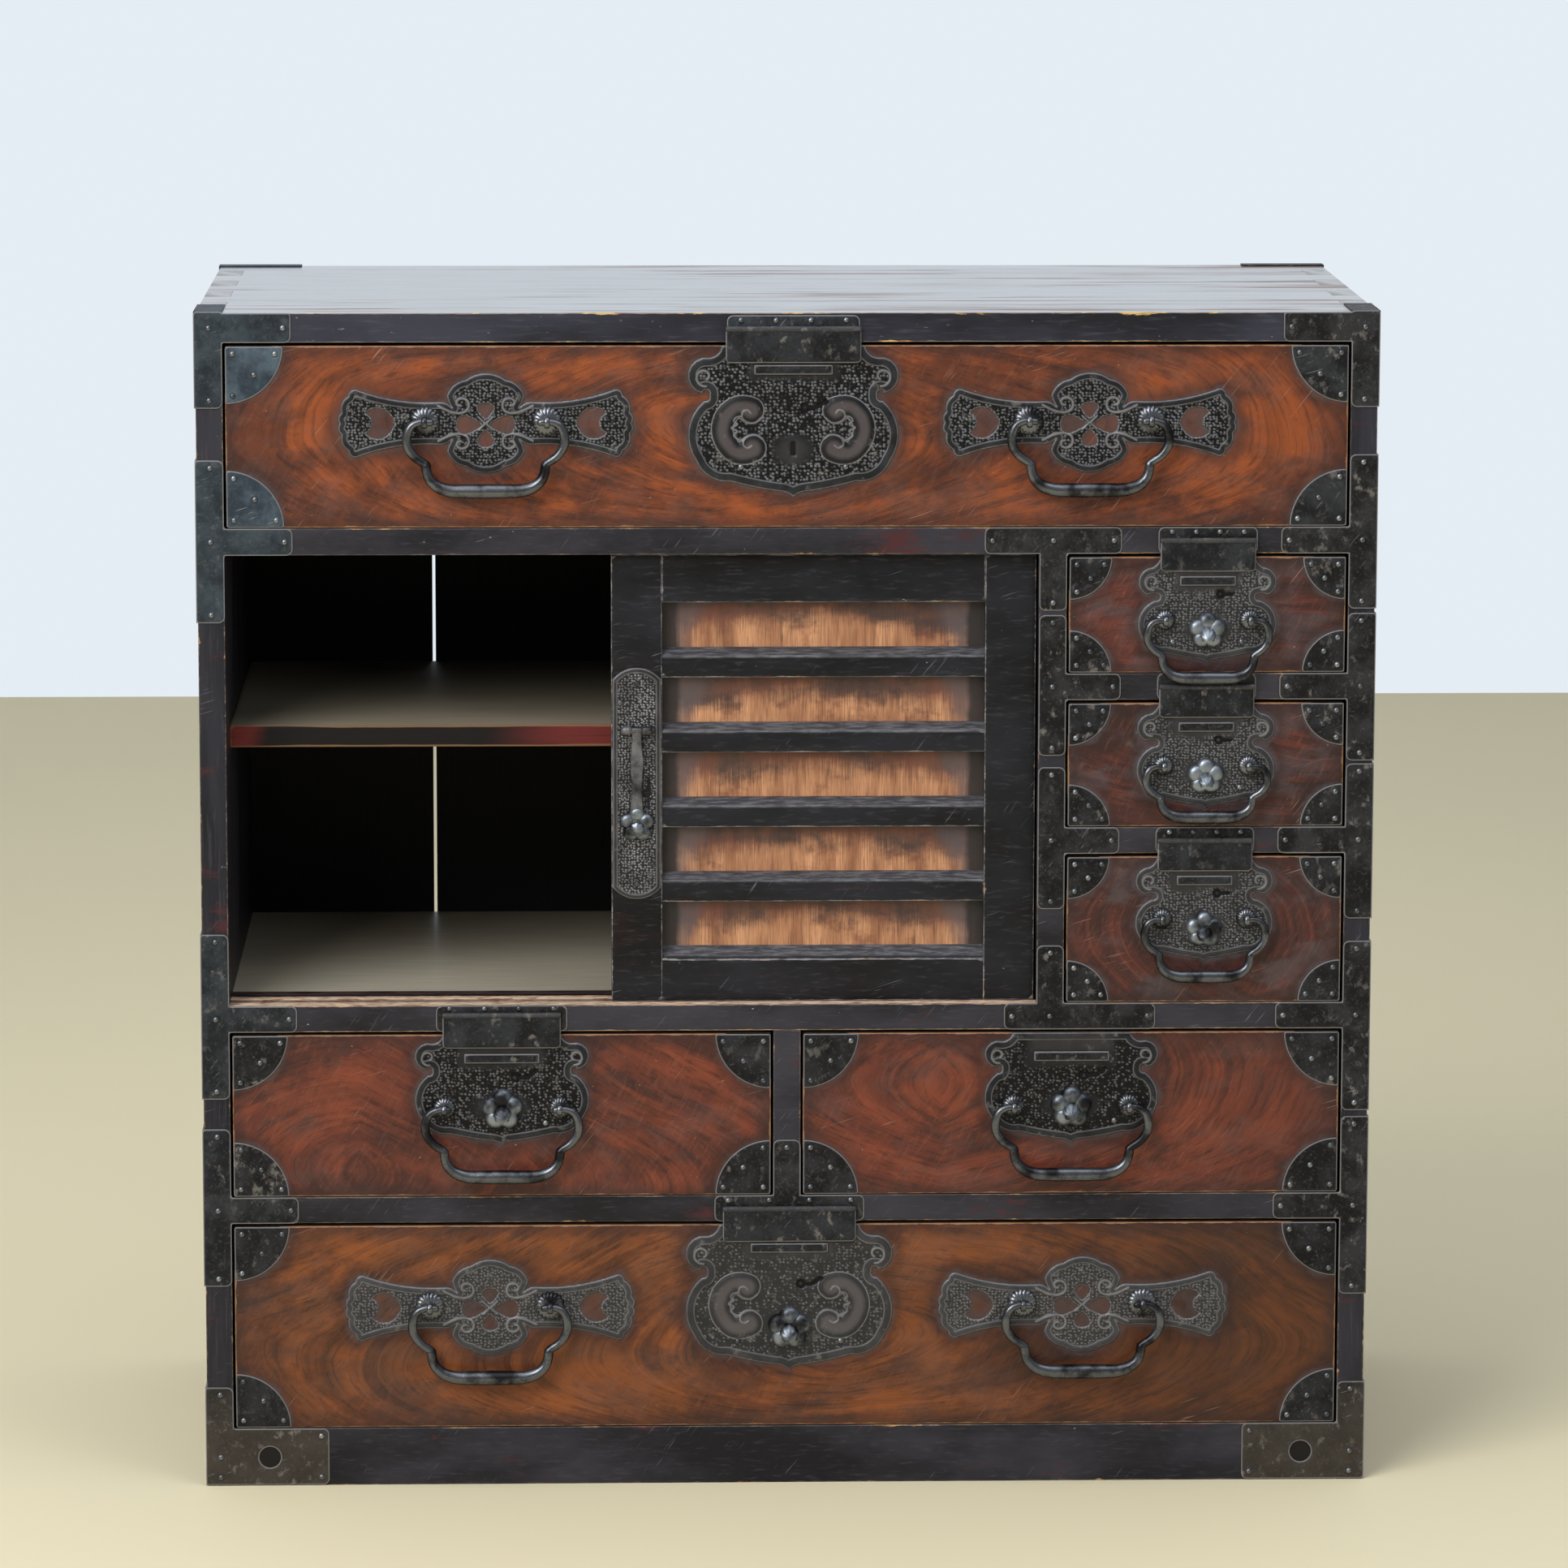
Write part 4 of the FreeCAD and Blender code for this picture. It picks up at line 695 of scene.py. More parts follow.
def plain_wood(name, dark, pale, seed=0.0, upright=False, inner=None):
    """Softwood with straight fine grain; the inner colour, if given, is used before the back face as painted
    shade inside the chest.
    """
    paint = Paint(name)
    x, y, z = paint.axes()
    grain = paint.noise(2.6, (1, 1, 22) if upright else (22, 1, 1), 4, 0.6, seed=seed)
    band = paint.noise(22, (1, 1, 12) if upright else (12, 1, 1), 3, seed=seed + 3)
    spot = paint.noise(120, seed=seed + 6, detail=5).rise(0.5, 0.75)
    body = paint.mix(grain * 0.5 + band * 0.5, dark, pale)
    body = paint.mix(spot * 0.45, body, dark)
    # Painted shade: the inner colour on the face inside the chest.
    if inner is not None:
        body = paint.mix(y.rise(inner_back + 2.0, inner_back + 4.0), inner, body)
    return paint.finish(body, 0.62 + grain * 0.12, height=grain, depth=0.3, shine=0.3)


def front_wood(name, reds, lie, seed, haze, mottle, shade=0.0012):
    """Plain sawn hardwood under clear lacquer. A growth line is a line of equal distance from the pith,
    which lies under the board and sinks away from one place, so that the lines close into arches on both
    sides of it. Haze and grime sit round the iron."""
    paint = Paint(name)
    x, y, z = paint.axes()
    deep, middle, bright = reds
    pith_x, pith_z, depth, sink, fine = lie
    hill = paint.noise(190, (1.5, 1, 0.9), 0.8, 0.4, seed=seed)
    slow = paint.noise(34, (3, 1, 1), 2, seed=seed + 3)
    up = z - pith_z + (hill - 0.5) * 90.0
    under = ((x - pith_x).size() + 40.0) * sink + depth + (hill - 0.5) * 40.0
    level = (up * up + under * under) ** 0.5 + slow * 2.6

    def lines(width, length, detail, rough):
        where = paint.node("ShaderNodeCombineXYZ", None, {0: level / width, 1: x / length, 2: seed})
        inputs = {"Vector": where, "Scale": 1.0, "Detail": detail, "Roughness": rough}
        return paint.node("ShaderNodeTexNoise", None, inputs)

    broad = lines(13.0 * fine, 300.0, 2.0, 0.5)
    close = lines(4.2 * fine, 90.0, 3.0, 0.6)
    pores = lines(1.0, 14.0, 2.0, 0.6)
    figure = paint.noise(34, (1.5, 1, 1), 5, 0.65, seed=seed + 8)
    body = paint.mix(broad.rise(0.34, 0.62), middle, bright)
    body = paint.mix(figure.rise(0.40, 0.62) * 0.6, body, middle)
    body = paint.mix(close.rise(0.50, 0.62) * (0.05 + figure * 0.75), body, deep)
    body = paint.mix((broad.rise(0.54, 0.66) * broad.rise(0.82, 0.68)) * 0.5, body, deep)
    body = body.under(pores.rise(0.48, 0.70) * (0.15 + close * 0.6), 30, 17, 15)
    glow = paint.noise(62, (1.3, 1, 0.8), 4, 0.6, seed=seed + 17).rise(0.50, 0.68)
    body = paint.mix(glow * 0.5, body, bright)
    patina = paint.noise(64, (1.6, 1, 1), 6, 0.68, seed=seed + 11)
    body = body.under(patina.rise(0.47, 0.62) * mottle, 44, 26, 25)
    bloom = paint.noise(28, (1.7, 1, 1), 5, 0.66, seed=seed + 37).rise(0.46, 0.62)
    body = paint.mix(bloom * (mottle - 0.4), body, haze)
    brushed = paint.noise(2.2, (1.0, 1, 7.0), 4, 0.65, turn=28.0, seed=seed + 29).rise(0.50, 0.72)
    body = body.under(brushed * 0.35 * mottle, 136, 84, 66)
    body = paint.mix((x * shade).rise(0.25, 1.0) * 0.6, body, deep)
    ragged = paint.noise(15, detail=6, rough=0.68, seed=seed + 13)
    behind = y.rise(face_y + 1.2, face_y + 2.0)
    near = paint.mark("iron") + behind * 200.0
    dull = (near - ragged * 24.0).rise(3.0, -11.0)
    body = body.under(dull * 0.55, 44, 30, 29)
    halo = (near - (ragged - 0.22) * 14.0).rise(0.5, -4.5)
    body = paint.mix(halo * (0.12 + figure * 0.6), body, haze)
    raw = paint.mix(close * 0.6 + pores * 0.4, tone(104, 78, 56), tone(158, 128, 94))
    body = paint.mix(behind, body, raw)
    border = (paint.mark("arris") - ragged * 22.0).rise(4.0, -9.0)
    body = body.under(border * 0.55, 42, 28, 28)
    worn = (paint.mark("arris") - (ragged - 0.42) * 4.0).rise(0.9, 0.2)
    body = body.under(worn * 0.7, 164, 124, 92)
    marks = paint.scratches(40, 0.54, seed)
    body = body.under(marks * 0.6, 158, 122, 104)
    speck = paint.noise(3.2, detail=2, seed=seed + 21).rise(0.74, 0.80)
    body = body.under(speck * 0.5, 176, 140, 104)
    # Painted shade: deep under the iron the wood is black, as seen through the keyholes and slots.
    shade_under_iron = near.rise(-6.6, -9.0)
    body = body.under(shade_under_iron, 4, 4, 4)
    rough = 0.34 + patina * 0.2 + dull * 0.15
    height = pores.rise(0.5, 0.7) * -0.5 + close * 0.2 - marks * 0.5
    coat = (0.16 - dull * 0.12) * (1 - shade_under_iron) * (1 - behind)
    return paint.finish(body, rough, height=height, depth=0.2, coat=coat, coat_rough=0.2, shine=0.25)


def panel_wood():
    """Orange-brown softwood with fine upright grain between the slats: painted shade, darker and redder,
    under each slat, and darker at both ends, with a grey bloom inside the dark ends."""
    paint = Paint("door_panel_wood")
    x, y, z = paint.axes()
    fine = paint.noise(1.0, (1, 1, 26), 4, 0.62)
    broad = paint.noise(13, (1, 1, 7), 4, 0.6, seed=2)
    blotch = paint.noise(30, (1.4, 1, 1), 5, 0.62, seed=5)
    body = paint.mix(broad.rise(0.3, 0.68), tone(140, 90, 60), tone(200, 146, 106))
    body = body.under(fine.rise(0.42, 0.70) * 0.6, 96, 56, 42)
    streak = paint.noise(5, (1, 1, 9), 3, 0.6, seed=9).rise(0.60, 0.72)
    body = body.under(streak * 0.55, 60, 40, 38)
    body = body.under(blotch.rise(0.52, 0.66) * 0.6, 112, 58, 38)
    share = ((z - slat_foot) / slat_pitch).part()
    away = (x - door_middle).size()
    # Painted shade under each slat, growing towards the ends.
    under = (share + away * 0.0020 + (blotch - 0.5) * 0.6 + (fine - 0.5) * 0.3).rise(0.24, 0.56)
    shadow = paint.mix(blotch.rise(0.4, 0.6), tone(92, 50, 40), tone(50, 36, 37))
    body = paint.mix(under * 0.9, body, shadow)
    ends = (away + blotch * 26.0 + share * 24.0).rise(108.0, 124.0)
    body = body.under(ends * 0.65, 84, 76, 80)
    dark = (away + blotch * 8.0).rise(112.0, 118.0)
    body = body.under(dark * (0.7 + broad * 0.4), 24, 19, 21)
    return paint.finish(body, 0.5 + fine * 0.15, height=fine, depth=0.2, coat=0.1, coat_rough=0.3)


def shelf_lacquer():
    """Thin dull lacquer on the shelf; its front edge is dark with red at both ends."""
    paint = Paint("shelf_lacquer")
    x, y, z = paint.axes()
    grain = paint.noise(2.4, (26, 1, 1), 4, 0.6)
    broad = paint.noise(60, (4, 1, 1), 4, seed=3)
    top = paint.mix(grain * 0.6 + broad * 0.4, tone(112, 104, 90), tone(168, 158, 138))
    share = (x - broad * 60.0).rise(-270.0, -185.0).most((x + broad * 60.0).rise(-370.0, -392.0))
    red = paint.mix(share, tone(12, 8, 11), tone(104, 38, 36))
    red = red.under(grain.rise(0.5, 0.7) * 0.4, 22, 16, 18)
    body = paint.mix(y.rise(-149.0, -149.6), top, red)
    worn = (paint.mark("arris") - (broad - 0.42) * 7).rise(1.0, 0.2)
    body = body.under(worn * 0.6, 140, 108, 76)
    return paint.finish(body, 0.45 + grain * 0.15, height=grain, depth=0.2, shine=0.25)


def iron(name, dark, pale, blotch, seed=0.0, rough=0.44, metal=0.35, rimmed=True, blue=0.0):
    """Black wrought iron with pale rubbed blotches, fine specks and a thin pale line along its edges, which
    is rubbed wear and painted highlight. Where blue is set, it has a painted blue reflection towards the
    upper left of the chest, and brown at its foot."""
    paint = Paint(name)
    cloud = paint.noise(22, detail=5, rough=0.62, seed=seed)
    speck = paint.noise(2.4, detail=4, rough=0.7, seed=seed + 3)
    body = paint.mix(cloud.rise(0.36, 0.68), dark, pale)
    if blue:
        x, y, z = paint.axes()
        # Painted reflection: a blue sheen towards the upper left, with fewer rubbed blotches there.
        lit = (z * 0.001 - x * 0.0012).rise(0.55, 1.35)
        low = z.rise(120.0, 30.0) * (0.3 + cloud * 0.7)
        body = body.under(low, 72, 65, 57)
        painted_sheen = (tone(34 * blue, 43 * blue, 51 * blue), tone(60 * blue, 72 * blue, 82 * blue))
        body = paint.mix(lit * 0.8, body, paint.mix(cloud.rise(0.36, 0.68), *painted_sheen))
    body = body.under(speck.rise(0.54, 0.70) * 0.4, 90, 92, 96)
    far = paint.noise(90, detail=2, seed=seed + 5).rise(0.36, 0.60)
    rubbed = paint.noise(9.0, (1, 1, 1.3), 5, 0.66, seed=seed + 6).rise(0.555, 0.68)
    rubbed = rubbed * (0.25 + far * 0.75) * (1 - lit * 0.7) if blue else rubbed * (0.25 + far * 0.75)
    body = body.under(rubbed * blotch, 126, 121, 118)
    marks = paint.scratches(16, 0.54, seed)
    body = body.under(marks * 0.5, 150, 152, 156)
    height = speck * 0.7 + cloud * 0.5
    # Pale line along the edges: rubbed wear and a painted highlight of the edge.
    if rimmed:
        rim = paint.mark("rim")
        line = (rim + (cloud - 0.5) * 0.6).rise(1.1, 0.4)
        body = body.under(line * (0.35 + cloud * 0.6), 140, 138, 140)
    return paint.finish(body, rough + speck * 0.2, metal, height, 0.2, shine=0.25)


def plate_iron(name, band, seed, glow, pierced=False, pebble_size=2.9, lift=0.0):
    """Embossed iron: a smooth dark band inside the rim with a pale line on each side, a pebbled ground
    with painted highlights on the pebble tops and painted shade between them, raised scrolls with a
    painted highlight along the crown and painted shade at their sides, and curls drawn by pale lines.
    The pale lines are rubbed wear, and on the rim partly a painted highlight. Marks give the distances
    in millimetres."""
    paint = Paint(name)
    edge = paint.mark("band")
    rim = paint.mark("rim") if pierced else edge
    curl = paint.mark("curl")
    scroll = paint.mark("scroll")
    bare = paint.mark("bare")
    cloud = paint.noise(20, detail=5, rough=0.62, seed=seed)
    speck = paint.noise(1.6, detail=3, rough=0.65, seed=seed + 3)
    ground = edge.rise(band + 0.3, band + 1.0) * scroll.rise(0.4, 1.2) * curl.rise(0.7, 1.4)
    ground = ground * (bare + (cloud - 0.5) * 16.0).rise(-1.0, 5.0)
    pebble = paint.cells(pebble_size, (1, 4, 0.86), 0.62, seed).rise(0.54, 0.16)
    body = paint.mix(cloud.rise(0.35, 0.7), tone(26, 27, 31), tone(48, 50, 55))
    # Painted shade between the pebbles, and painted highlights in the glow colour on their tops.
    body = body.under(ground * 0.95, 9, 9, 11)
    tops = paint.mix(cloud.rise(0.36, 0.66), tone(100, 100, 104), glow)
    body = paint.mix(ground * pebble * 0.9, body, tops)
    # Painted shade along the sides of the raised scrolls, and a painted highlight along their crowns.
    body = body.under((scroll + 1.4).size().rise(1.8, 0.4) * 0.7, 20, 20, 23)
    body = body.under(scroll.rise(-2.0, -6.0) * 0.6, 96, 88, 90)
    # Pale lines: rubbed wear on the raised lines, and on the rim edge partly a painted highlight.
    edges = (rim - 0.3).size().rise(1.0, 0.3) * 0.8
    inner = (edge - band).size().rise(0.75, 0.2) * 0.6 * rim.rise(1.0, 2.0)
    drawn = curl.size().rise(0.8, 0.2).most((scroll - 0.6).size().rise(0.7, 0.2))
    lines = edges.most(inner).most(drawn * 0.95)
    body = body.under(lines * (0.2 + cloud * 0.9), 140, 138, 142)
    rubbed = paint.noise(10, detail=5, rough=0.7, seed=seed + 8).rise(0.58, 0.70)
    body = body.under(rubbed * 0.5, 124, 122, 120)
    body = body.under(bare.rise(1.0, -5.0) * 0.5, 60, 56, 57)
    if lift:
        body = body.under(lift * (0.5 + cloud), 112, 110, 111)
    height = ground * (pebble - 0.4) + lines * 0.35 + speck * 0.12
    rough = 0.34 + speck * 0.22 - ground * pebble * 0.06
    return paint.finish(body, rough, 0.35, height, 0.5, shine=0.3)


def polished_iron(name, seed, pale=(100, 103, 109), pits=0.35, rough=0.16):
    """Iron rubbed bright by hands, with a few darker clouds and fine pits."""
    paint = Paint(name)
    pit = paint.noise(2.2, detail=4, rough=0.65, seed=seed)
    broad = paint.noise(20, detail=3, seed=seed + 2)
    body = paint.mix(broad.rise(0.42, 0.66), tone(*pale), tone(40, 40, 44))
    body = body.under(pit.rise(0.56, 0.70) * pits, 34, 33, 34)
    rough = rough + broad * 0.14 + pit * 0.08
    return paint.finish(body, rough, 0.9, pit, 0.06)


def shade_black(name):
    """Painted shade: the dull black of the unlit works deep inside a lock."""
    paint = Paint(name)
    cloud = paint.noise(8, detail=3)
    return paint.finish(paint.mix(cloud, tone(2, 2, 2), tone(9, 8, 8)), 0.9, shine=0.0)


def floor_paint():
    """Plain pale floor."""
    paint = Paint("pale_floor")
    soft = paint.noise(900, detail=2)
    body = paint.mix(soft * 0.5, tone(226, 216, 184), tone(216, 206, 176))
    return paint.finish(body, 0.7, shine=0.2)


def wall_paint():
    """Backdrop that shows its own colour to the camera and in reflections, and is plain paint otherwise.
    A camera behind it sees through it."""
    paint = Paint("pale_wall")
    ray = "ShaderNodeLightPath"
    seen = paint.node(ray, output="Is Camera Ray").most(paint.node(ray, output="Is Glossy Ray"))
    seen = seen.most(paint.node(ray, output="Is Transmission Ray"))
    shown = paint.node("ShaderNodeEmission", None, {"Color": tone(229, 237, 244), "Strength": 1.0})
    flat = paint.node("ShaderNodeBsdfDiffuse", None, {"Color": tone(210, 216, 222)})
    both = paint.node("ShaderNodeMixShader", None, {0: seen, 1: flat, 2: shown})
    rear = paint.node("ShaderNodeNewGeometry", output="Backfacing")
    behind = paint.node(ray, output="Is Camera Ray") * rear
    clear = paint.node("ShaderNodeBsdfTransparent")
    whole = paint.node("ShaderNodeMixShader", None, {0: behind, 1: both, 2: clear})
    paint.node("ShaderNodeOutputMaterial", None, {"Surface": whole})
    return paint.material


# Putting pieces into the scene
def mesh_of(name, shape):
    """A mesh in metres with the shape's points and faces, its marks kept as attributes of the points."""
    mesh = bpy.data.meshes.new(name)
    corners = np.concatenate([face.ravel() for face in shape.faces])
    sizes = np.concatenate([np.full(len(face), face.shape[1]) for face in shape.faces])
    mesh.vertices.add(len(shape.points))
    mesh.vertices.foreach_set("co", (shape.points * MM).astype(np.float32).ravel())
    mesh.loops.add(len(corners))
    mesh.loops.foreach_set("vertex_index", corners.astype(np.int32))
    mesh.polygons.add(len(sizes))
    mesh.polygons.foreach_set("loop_start", (np.cumsum(sizes) - sizes).astype(np.int32))
    mesh.update(calc_edges=True)
    mesh.validate()
    for mark, values in shape.marks.items():
        layer = mesh.attributes.new(mark, "FLOAT", "POINT")
        layer.data.foreach_set("value", values.astype(np.float32))
    return mesh


def placed(name, data):
    """A new object of the scene with this mesh, lamp or camera."""
    made = bpy.data.objects.new(name, data)
    bpy.context.scene.collection.objects.link(made)
    return made


def shaded(mesh, material, sharp):
    """Gives the mesh its material and a smooth look but for edges sharper than the angle."""
    mesh.materials.clear()
    mesh.materials.append(material)
    mesh.polygons.foreach_set("use_smooth", np.ones(len(mesh.polygons), bool))
    mesh.set_sharp_from_angle(angle=math.radians(sharp))


def piece(name, shape, material, body, stands_for=None, slot=None, sharp=38.0):
    """A shape as a piece of the scene that rides on a body."""
    mesh = mesh_of(name, shape)
    shaded(mesh, material, sharp)
    made = placed(name, mesh)
    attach(made, body)
    if stands_for:
        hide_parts(stands_for)


def softened(node, width, material, body):
    """A copy of a node with its loose triangles merged, flat faces made whole and corners rounded."""
    mesh = nodes[node].data.copy()
    work = bmesh.new()
    work.from_mesh(mesh)
    bmesh.ops.remove_doubles(work, verts=work.verts, dist=1e-6)
    bmesh.ops.dissolve_limit(work, angle_limit=math.radians(1), verts=work.verts, edges=work.edges)
    work.to_mesh(mesh)
    work.free()
    shaded(mesh, material, 60.0)
    made = placed(f"{node}_board", mesh)
    rounding = made.modifiers.new("rounding", "BEVEL")
    rounding.width = width * MM
    rounding.segments = 2
    rounding.limit_method = "ANGLE"
    rounding.harden_normals = True
    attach(made, body)
    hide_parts(node)


def dressed(node, material):
    """A node that keeps its own shape gets its material."""
    mesh = nodes[node].data
    mesh.materials.clear()
    mesh.materials.append(material)


def span_of(node):
    """Lowest and highest corner of a node's box, in millimetres."""
    low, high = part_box(node)
    return np.array(low) / MM, np.array(high) / MM


nail_head = turned([(2.3, 0.0), (2.15, 0.55), (1.5, 1.15), (0.5, 1.42)], sides=10)


def nail_heads(places, y):
    """Dome nails at (x, z) places on the plane y."""
    return repeated(nail_head, [(x, y, z) for x, z in places])


# Carcass
lacquer = frame_lacquer("frame_lacquer", red=0.85)
track_lacquer = frame_lacquer("track_lacquer", seed=7.0, pale=2.0, inside=middle_z + rail,
                              line_tone=tone(164, 140, 124))
side_lacquer = frame_lacquer("side_lacquer", side_arris, 12.0, light=tone(46, 45, 52), top_face=913.5,
                             upright=True)
base_lacquer = frame_lacquer("base_lacquer", seed=17.0, red=0.85, holes=True)
inner_wood = plain_wood("inner_wood", tone(112, 88, 62), tone(168, 140, 104))
# Near-black inner face of the back boards: painted shade deep inside the cupboard.
back_wood = plain_wood("back_wood", tone(96, 76, 58), tone(140, 116, 88), 9.0, True, tone(5, 4, 5))
deep_wood = plain_wood("bottom_wood", tone(80, 62, 48), tone(120, 98, 74), 15.0)
softened("left_side", 0.6, side_lacquer, "carcass")
softened("right_side", 0.6, side_lacquer, "carcass")
softened("top_board", 0.6, top_lacquer(), "carcass")
dressed("back_boards", back_wood)
dressed("bottom_board", deep_wood)
door_tracks = [(-194.0, -182.0), (-171.0, -159.0)]


def grooved(low, high, cut, from_top):
    """Outline (y, z) of a rail with the two door tracks cut into its upper or its lower face."""
    outer, inner = (high, high - cut) if from_top else (low, low + cut)
    rest = low if from_top else high
    line = [(front_y, rest), (inner_back, rest), (inner_back, outer)]
    for start, end in door_tracks[::-1]:
        line += [(end, outer), (end, inner), (start, inner), (start, outer)]
    return line + [(front_y, outer)]


def slab(x0, x1, z0, z1, y0=front_y, y1=inner_back):
    """Board between two sides, from its underside to its top and from its front to its back."""
    return board((x0, y0, z0), (x1, y1, z1))


def rail_board(z, cut, from_top):
    """Long rail with the door tracks in the part above or below the cupboard."""
    return [carried(grooved(z, z + rail, cut, from_top), -inner_x, cupboard_right),
            slab(cupboard_right, inner_x, z, z + rail)]


base = [slab(-inner_x, inner_x, 0.0, 45.5, y1=-188.0), slab(-inner_x, inner_x, 0.0, 27.5, 188.0, 210.0),
        slab(-20.0, 20.0, 0.0, 27.5, -188.0, 188.0)]
uprights = [slab(cupboard_right, small_left, middle_z + rail, upper_z),
            slab(-10.5, 10.5, lower_z + rail, middle_z)]
for name, shapes, material, node, slot in (
    ("lower_rail_board", [slab(-inner_x, inner_x, lower_z, lower_z + rail)], lacquer, "lower_board",
     "frame_lacquer"),
    ("middle_rail_board", rail_board(middle_z, 3.0, True), track_lacquer, "middle_board", "frame_lacquer"),
    ("upper_rail_board", rail_board(upper_z, 8.0, False), lacquer, "upper_board", "frame_lacquer"),
    ("upright_divider_boards", uprights, lacquer, "upright_dividers", "frame_lacquer"),
    ("small_rail_boards", [slab(small_left, inner_x, z, z + rail) for z in small_zs], lacquer,
     "small_drawer_boards", "frame_lacquer"),
    ("base_rail_boards", base, base_lacquer, "base_rails", "frame_lacquer"),
    ("shelf_board", [slab(-inner_x, cupboard_right, 572.0, 589.0, -150.0)], shelf_lacquer(),
     "cupboard_shelf", "shelf_lacquer"),
):
    piece(name, joined(shapes), material, "carcass", node, slot)

# Iron on the frame
strap_round, strap_leg, strap_arm, nail_inset = 4.5, 54.0, 52.0, 6.0
leaf_front = -210.7
every_corner = "bl br tr tl"
divider_x = (cupboard_right + small_left) / 2
side_middle = inner_x + 10.25


def iron_sheet(boxes, holes=()):
    """Flat plate on the frame: the union of rounded rectangles, less round holes."""
    works = [box_field(*box) for box in boxes]

    def field(x, z):
        value = np.maximum.reduce([work(x, z) for work in works])
        for hx, hz, radius in holes:
            value = np.minimum(value, np.hypot(x - hx, z - hz) - radius)
        return value

    def height(x, z, rim):
        return iron_thick * (0.7 + 0.3 * eased(rim, 0, 0.9))

    x0s, x1s, z0s, z1s = zip(*(box[:4] for box in boxes))
    return cut_sheet(field, (min(x0s), max(x1s), min(z0s), max(z1s)), 1.9, front_y, height, {})


def on_side(sign, near, far):
    """A span of X on the left or on the right half of the chest."""
    return sorted((sign * near, sign * far))


def thin_leaf(sign, near, far, y0, y1, z0, z1):
    """Flat leaf of iron with slightly rounded edges, on the left or on the right half."""
    a, b = on_side(sign, near, far)
    return board((a, y0, z0), (b, y1, z1), 0.35, 60.0)


def fold(sign, low, high):
    """The leaf of a strap that is bent round on to the side of the carcass."""
    leaf = thin_leaf(sign, side_x, edge_x, leaf_front, -188.0, low, high)
    leaf.marks = {"rim": leaf.marks["arris"]}
    return leaf


def mirror_box(sign, near, far, low, high, corners):
    """A rectangle of a plate on one side of the chest: near and far are distances from its middle."""
    return (*on_side(sign, near, far), low, high, strap_round, corners)


plates = []
heads = []
free = {-1: "br tr", 1: "bl tl"}
left_rails = [(upper_z, 0.97, 0.96), (middle_z, 1.04, 0.97), (lower_z, 1.0, 0.92)]
right_rails = [(upper_z, 1.03, 0.79), (small_zs[1], 0.86, 0.88), (small_zs[0], 0.91, 0.95),
               (middle_z, 0.89, 1.2), (lower_z, 1.12, 1.11)]
for sign, rails in ((-1, left_rails), (1, right_rails)):
    for z, up, down in rails:
        low, high = z - strap_leg * down, z + rail + strap_leg * up
        upright = mirror_box(sign, inner_x, edge_x, low, high, free[sign])
        arm = mirror_box(sign, inner_x - strap_arm, edge_x, z, z + rail, free[sign])
        plates += [iron_sheet([upright, arm]), fold(sign, low, high)]
        heights = (low + nail_inset, high - nail_inset, z + rail / 2)
        heads += [(sign * side_middle, height) for height in heights]
        heads.append((sign * (inner_x - strap_arm + nail_inset), z + rail / 2))
    one = free[sign].split()[0]
    upright = mirror_box(sign, inner_x, edge_x, 841.5, 915.2, one)
    arm = mirror_box(sign, inner_x - strap_arm, edge_x, top_z - top_thick, top_z, one)
    plates += [iron_sheet([upright, arm]), fold(sign, 841.5, 915.2)]
    heads += [(sign * side_middle, 847.5), (sign * side_middle, 902.75), (sign * (inner_x - 46.0), 902.75)]
    foot = [mirror_box(sign, inner_x, edge_x, 0.8, 78.5, free[sign]),
            mirror_box(sign, inner_x - 74.0, edge_x, 0.8, 45.5, free[sign])]
    plates += [thin_leaf(sign, inner_x, edge_x, leaf_front, -148.0, top_z, 915.2),
               iron_sheet(foot, [(sign * foot_hole_x, foot_hole_z, 8.5)]), fold(sign, 0.8, 78.5)]
    heads += [(sign * side_middle, place) for place in (72.5, 22.75, 6.8)]
    heads += [(sign * (inner_x - 68.0), place) for place in (6.8, 39.5)]
    plates += [thin_leaf(sign, 384.0, edge_x, 196.0, 211.2, top_z, 915.2),
               thin_leaf(sign, 384.0, edge_x, 210.0, 211.2, top_z - top_thick, 915.0),
               thin_leaf(sign, side_x, edge_x, 196.0, 211.2, 848.0, 915.0)]
crossings = [(150.5, 255.5, upper_z, 0.0, 0.81), (cupboard_right, 255.5, small_zs[1], 0.84, 0.80),
             (cupboard_right, 255.5, small_zs[0], 0.87, 0.80), (167.5, 284.5, middle_z, 0.84, 0.0)]
for x0, x1, z, up, down in crossings:
    low, high = z - strap_leg * down, z + rail + strap_leg * up
    plates.append(iron_sheet([(x0, x1, z, z + rail, strap_round, every_corner),
                              (cupboard_right, small_left, low, high, strap_round, every_corner)]))
    heads += [(x1 - nail_inset, z + rail / 2), (divider_x, z + rail / 2)]
    heads += [(x0 + nail_inset, z + rail / 2)] if x0 < 180 else []
    heads += [(divider_x, high - nail_inset)] if up else []
    heads += [(divider_x, low + nail_inset)] if down else []

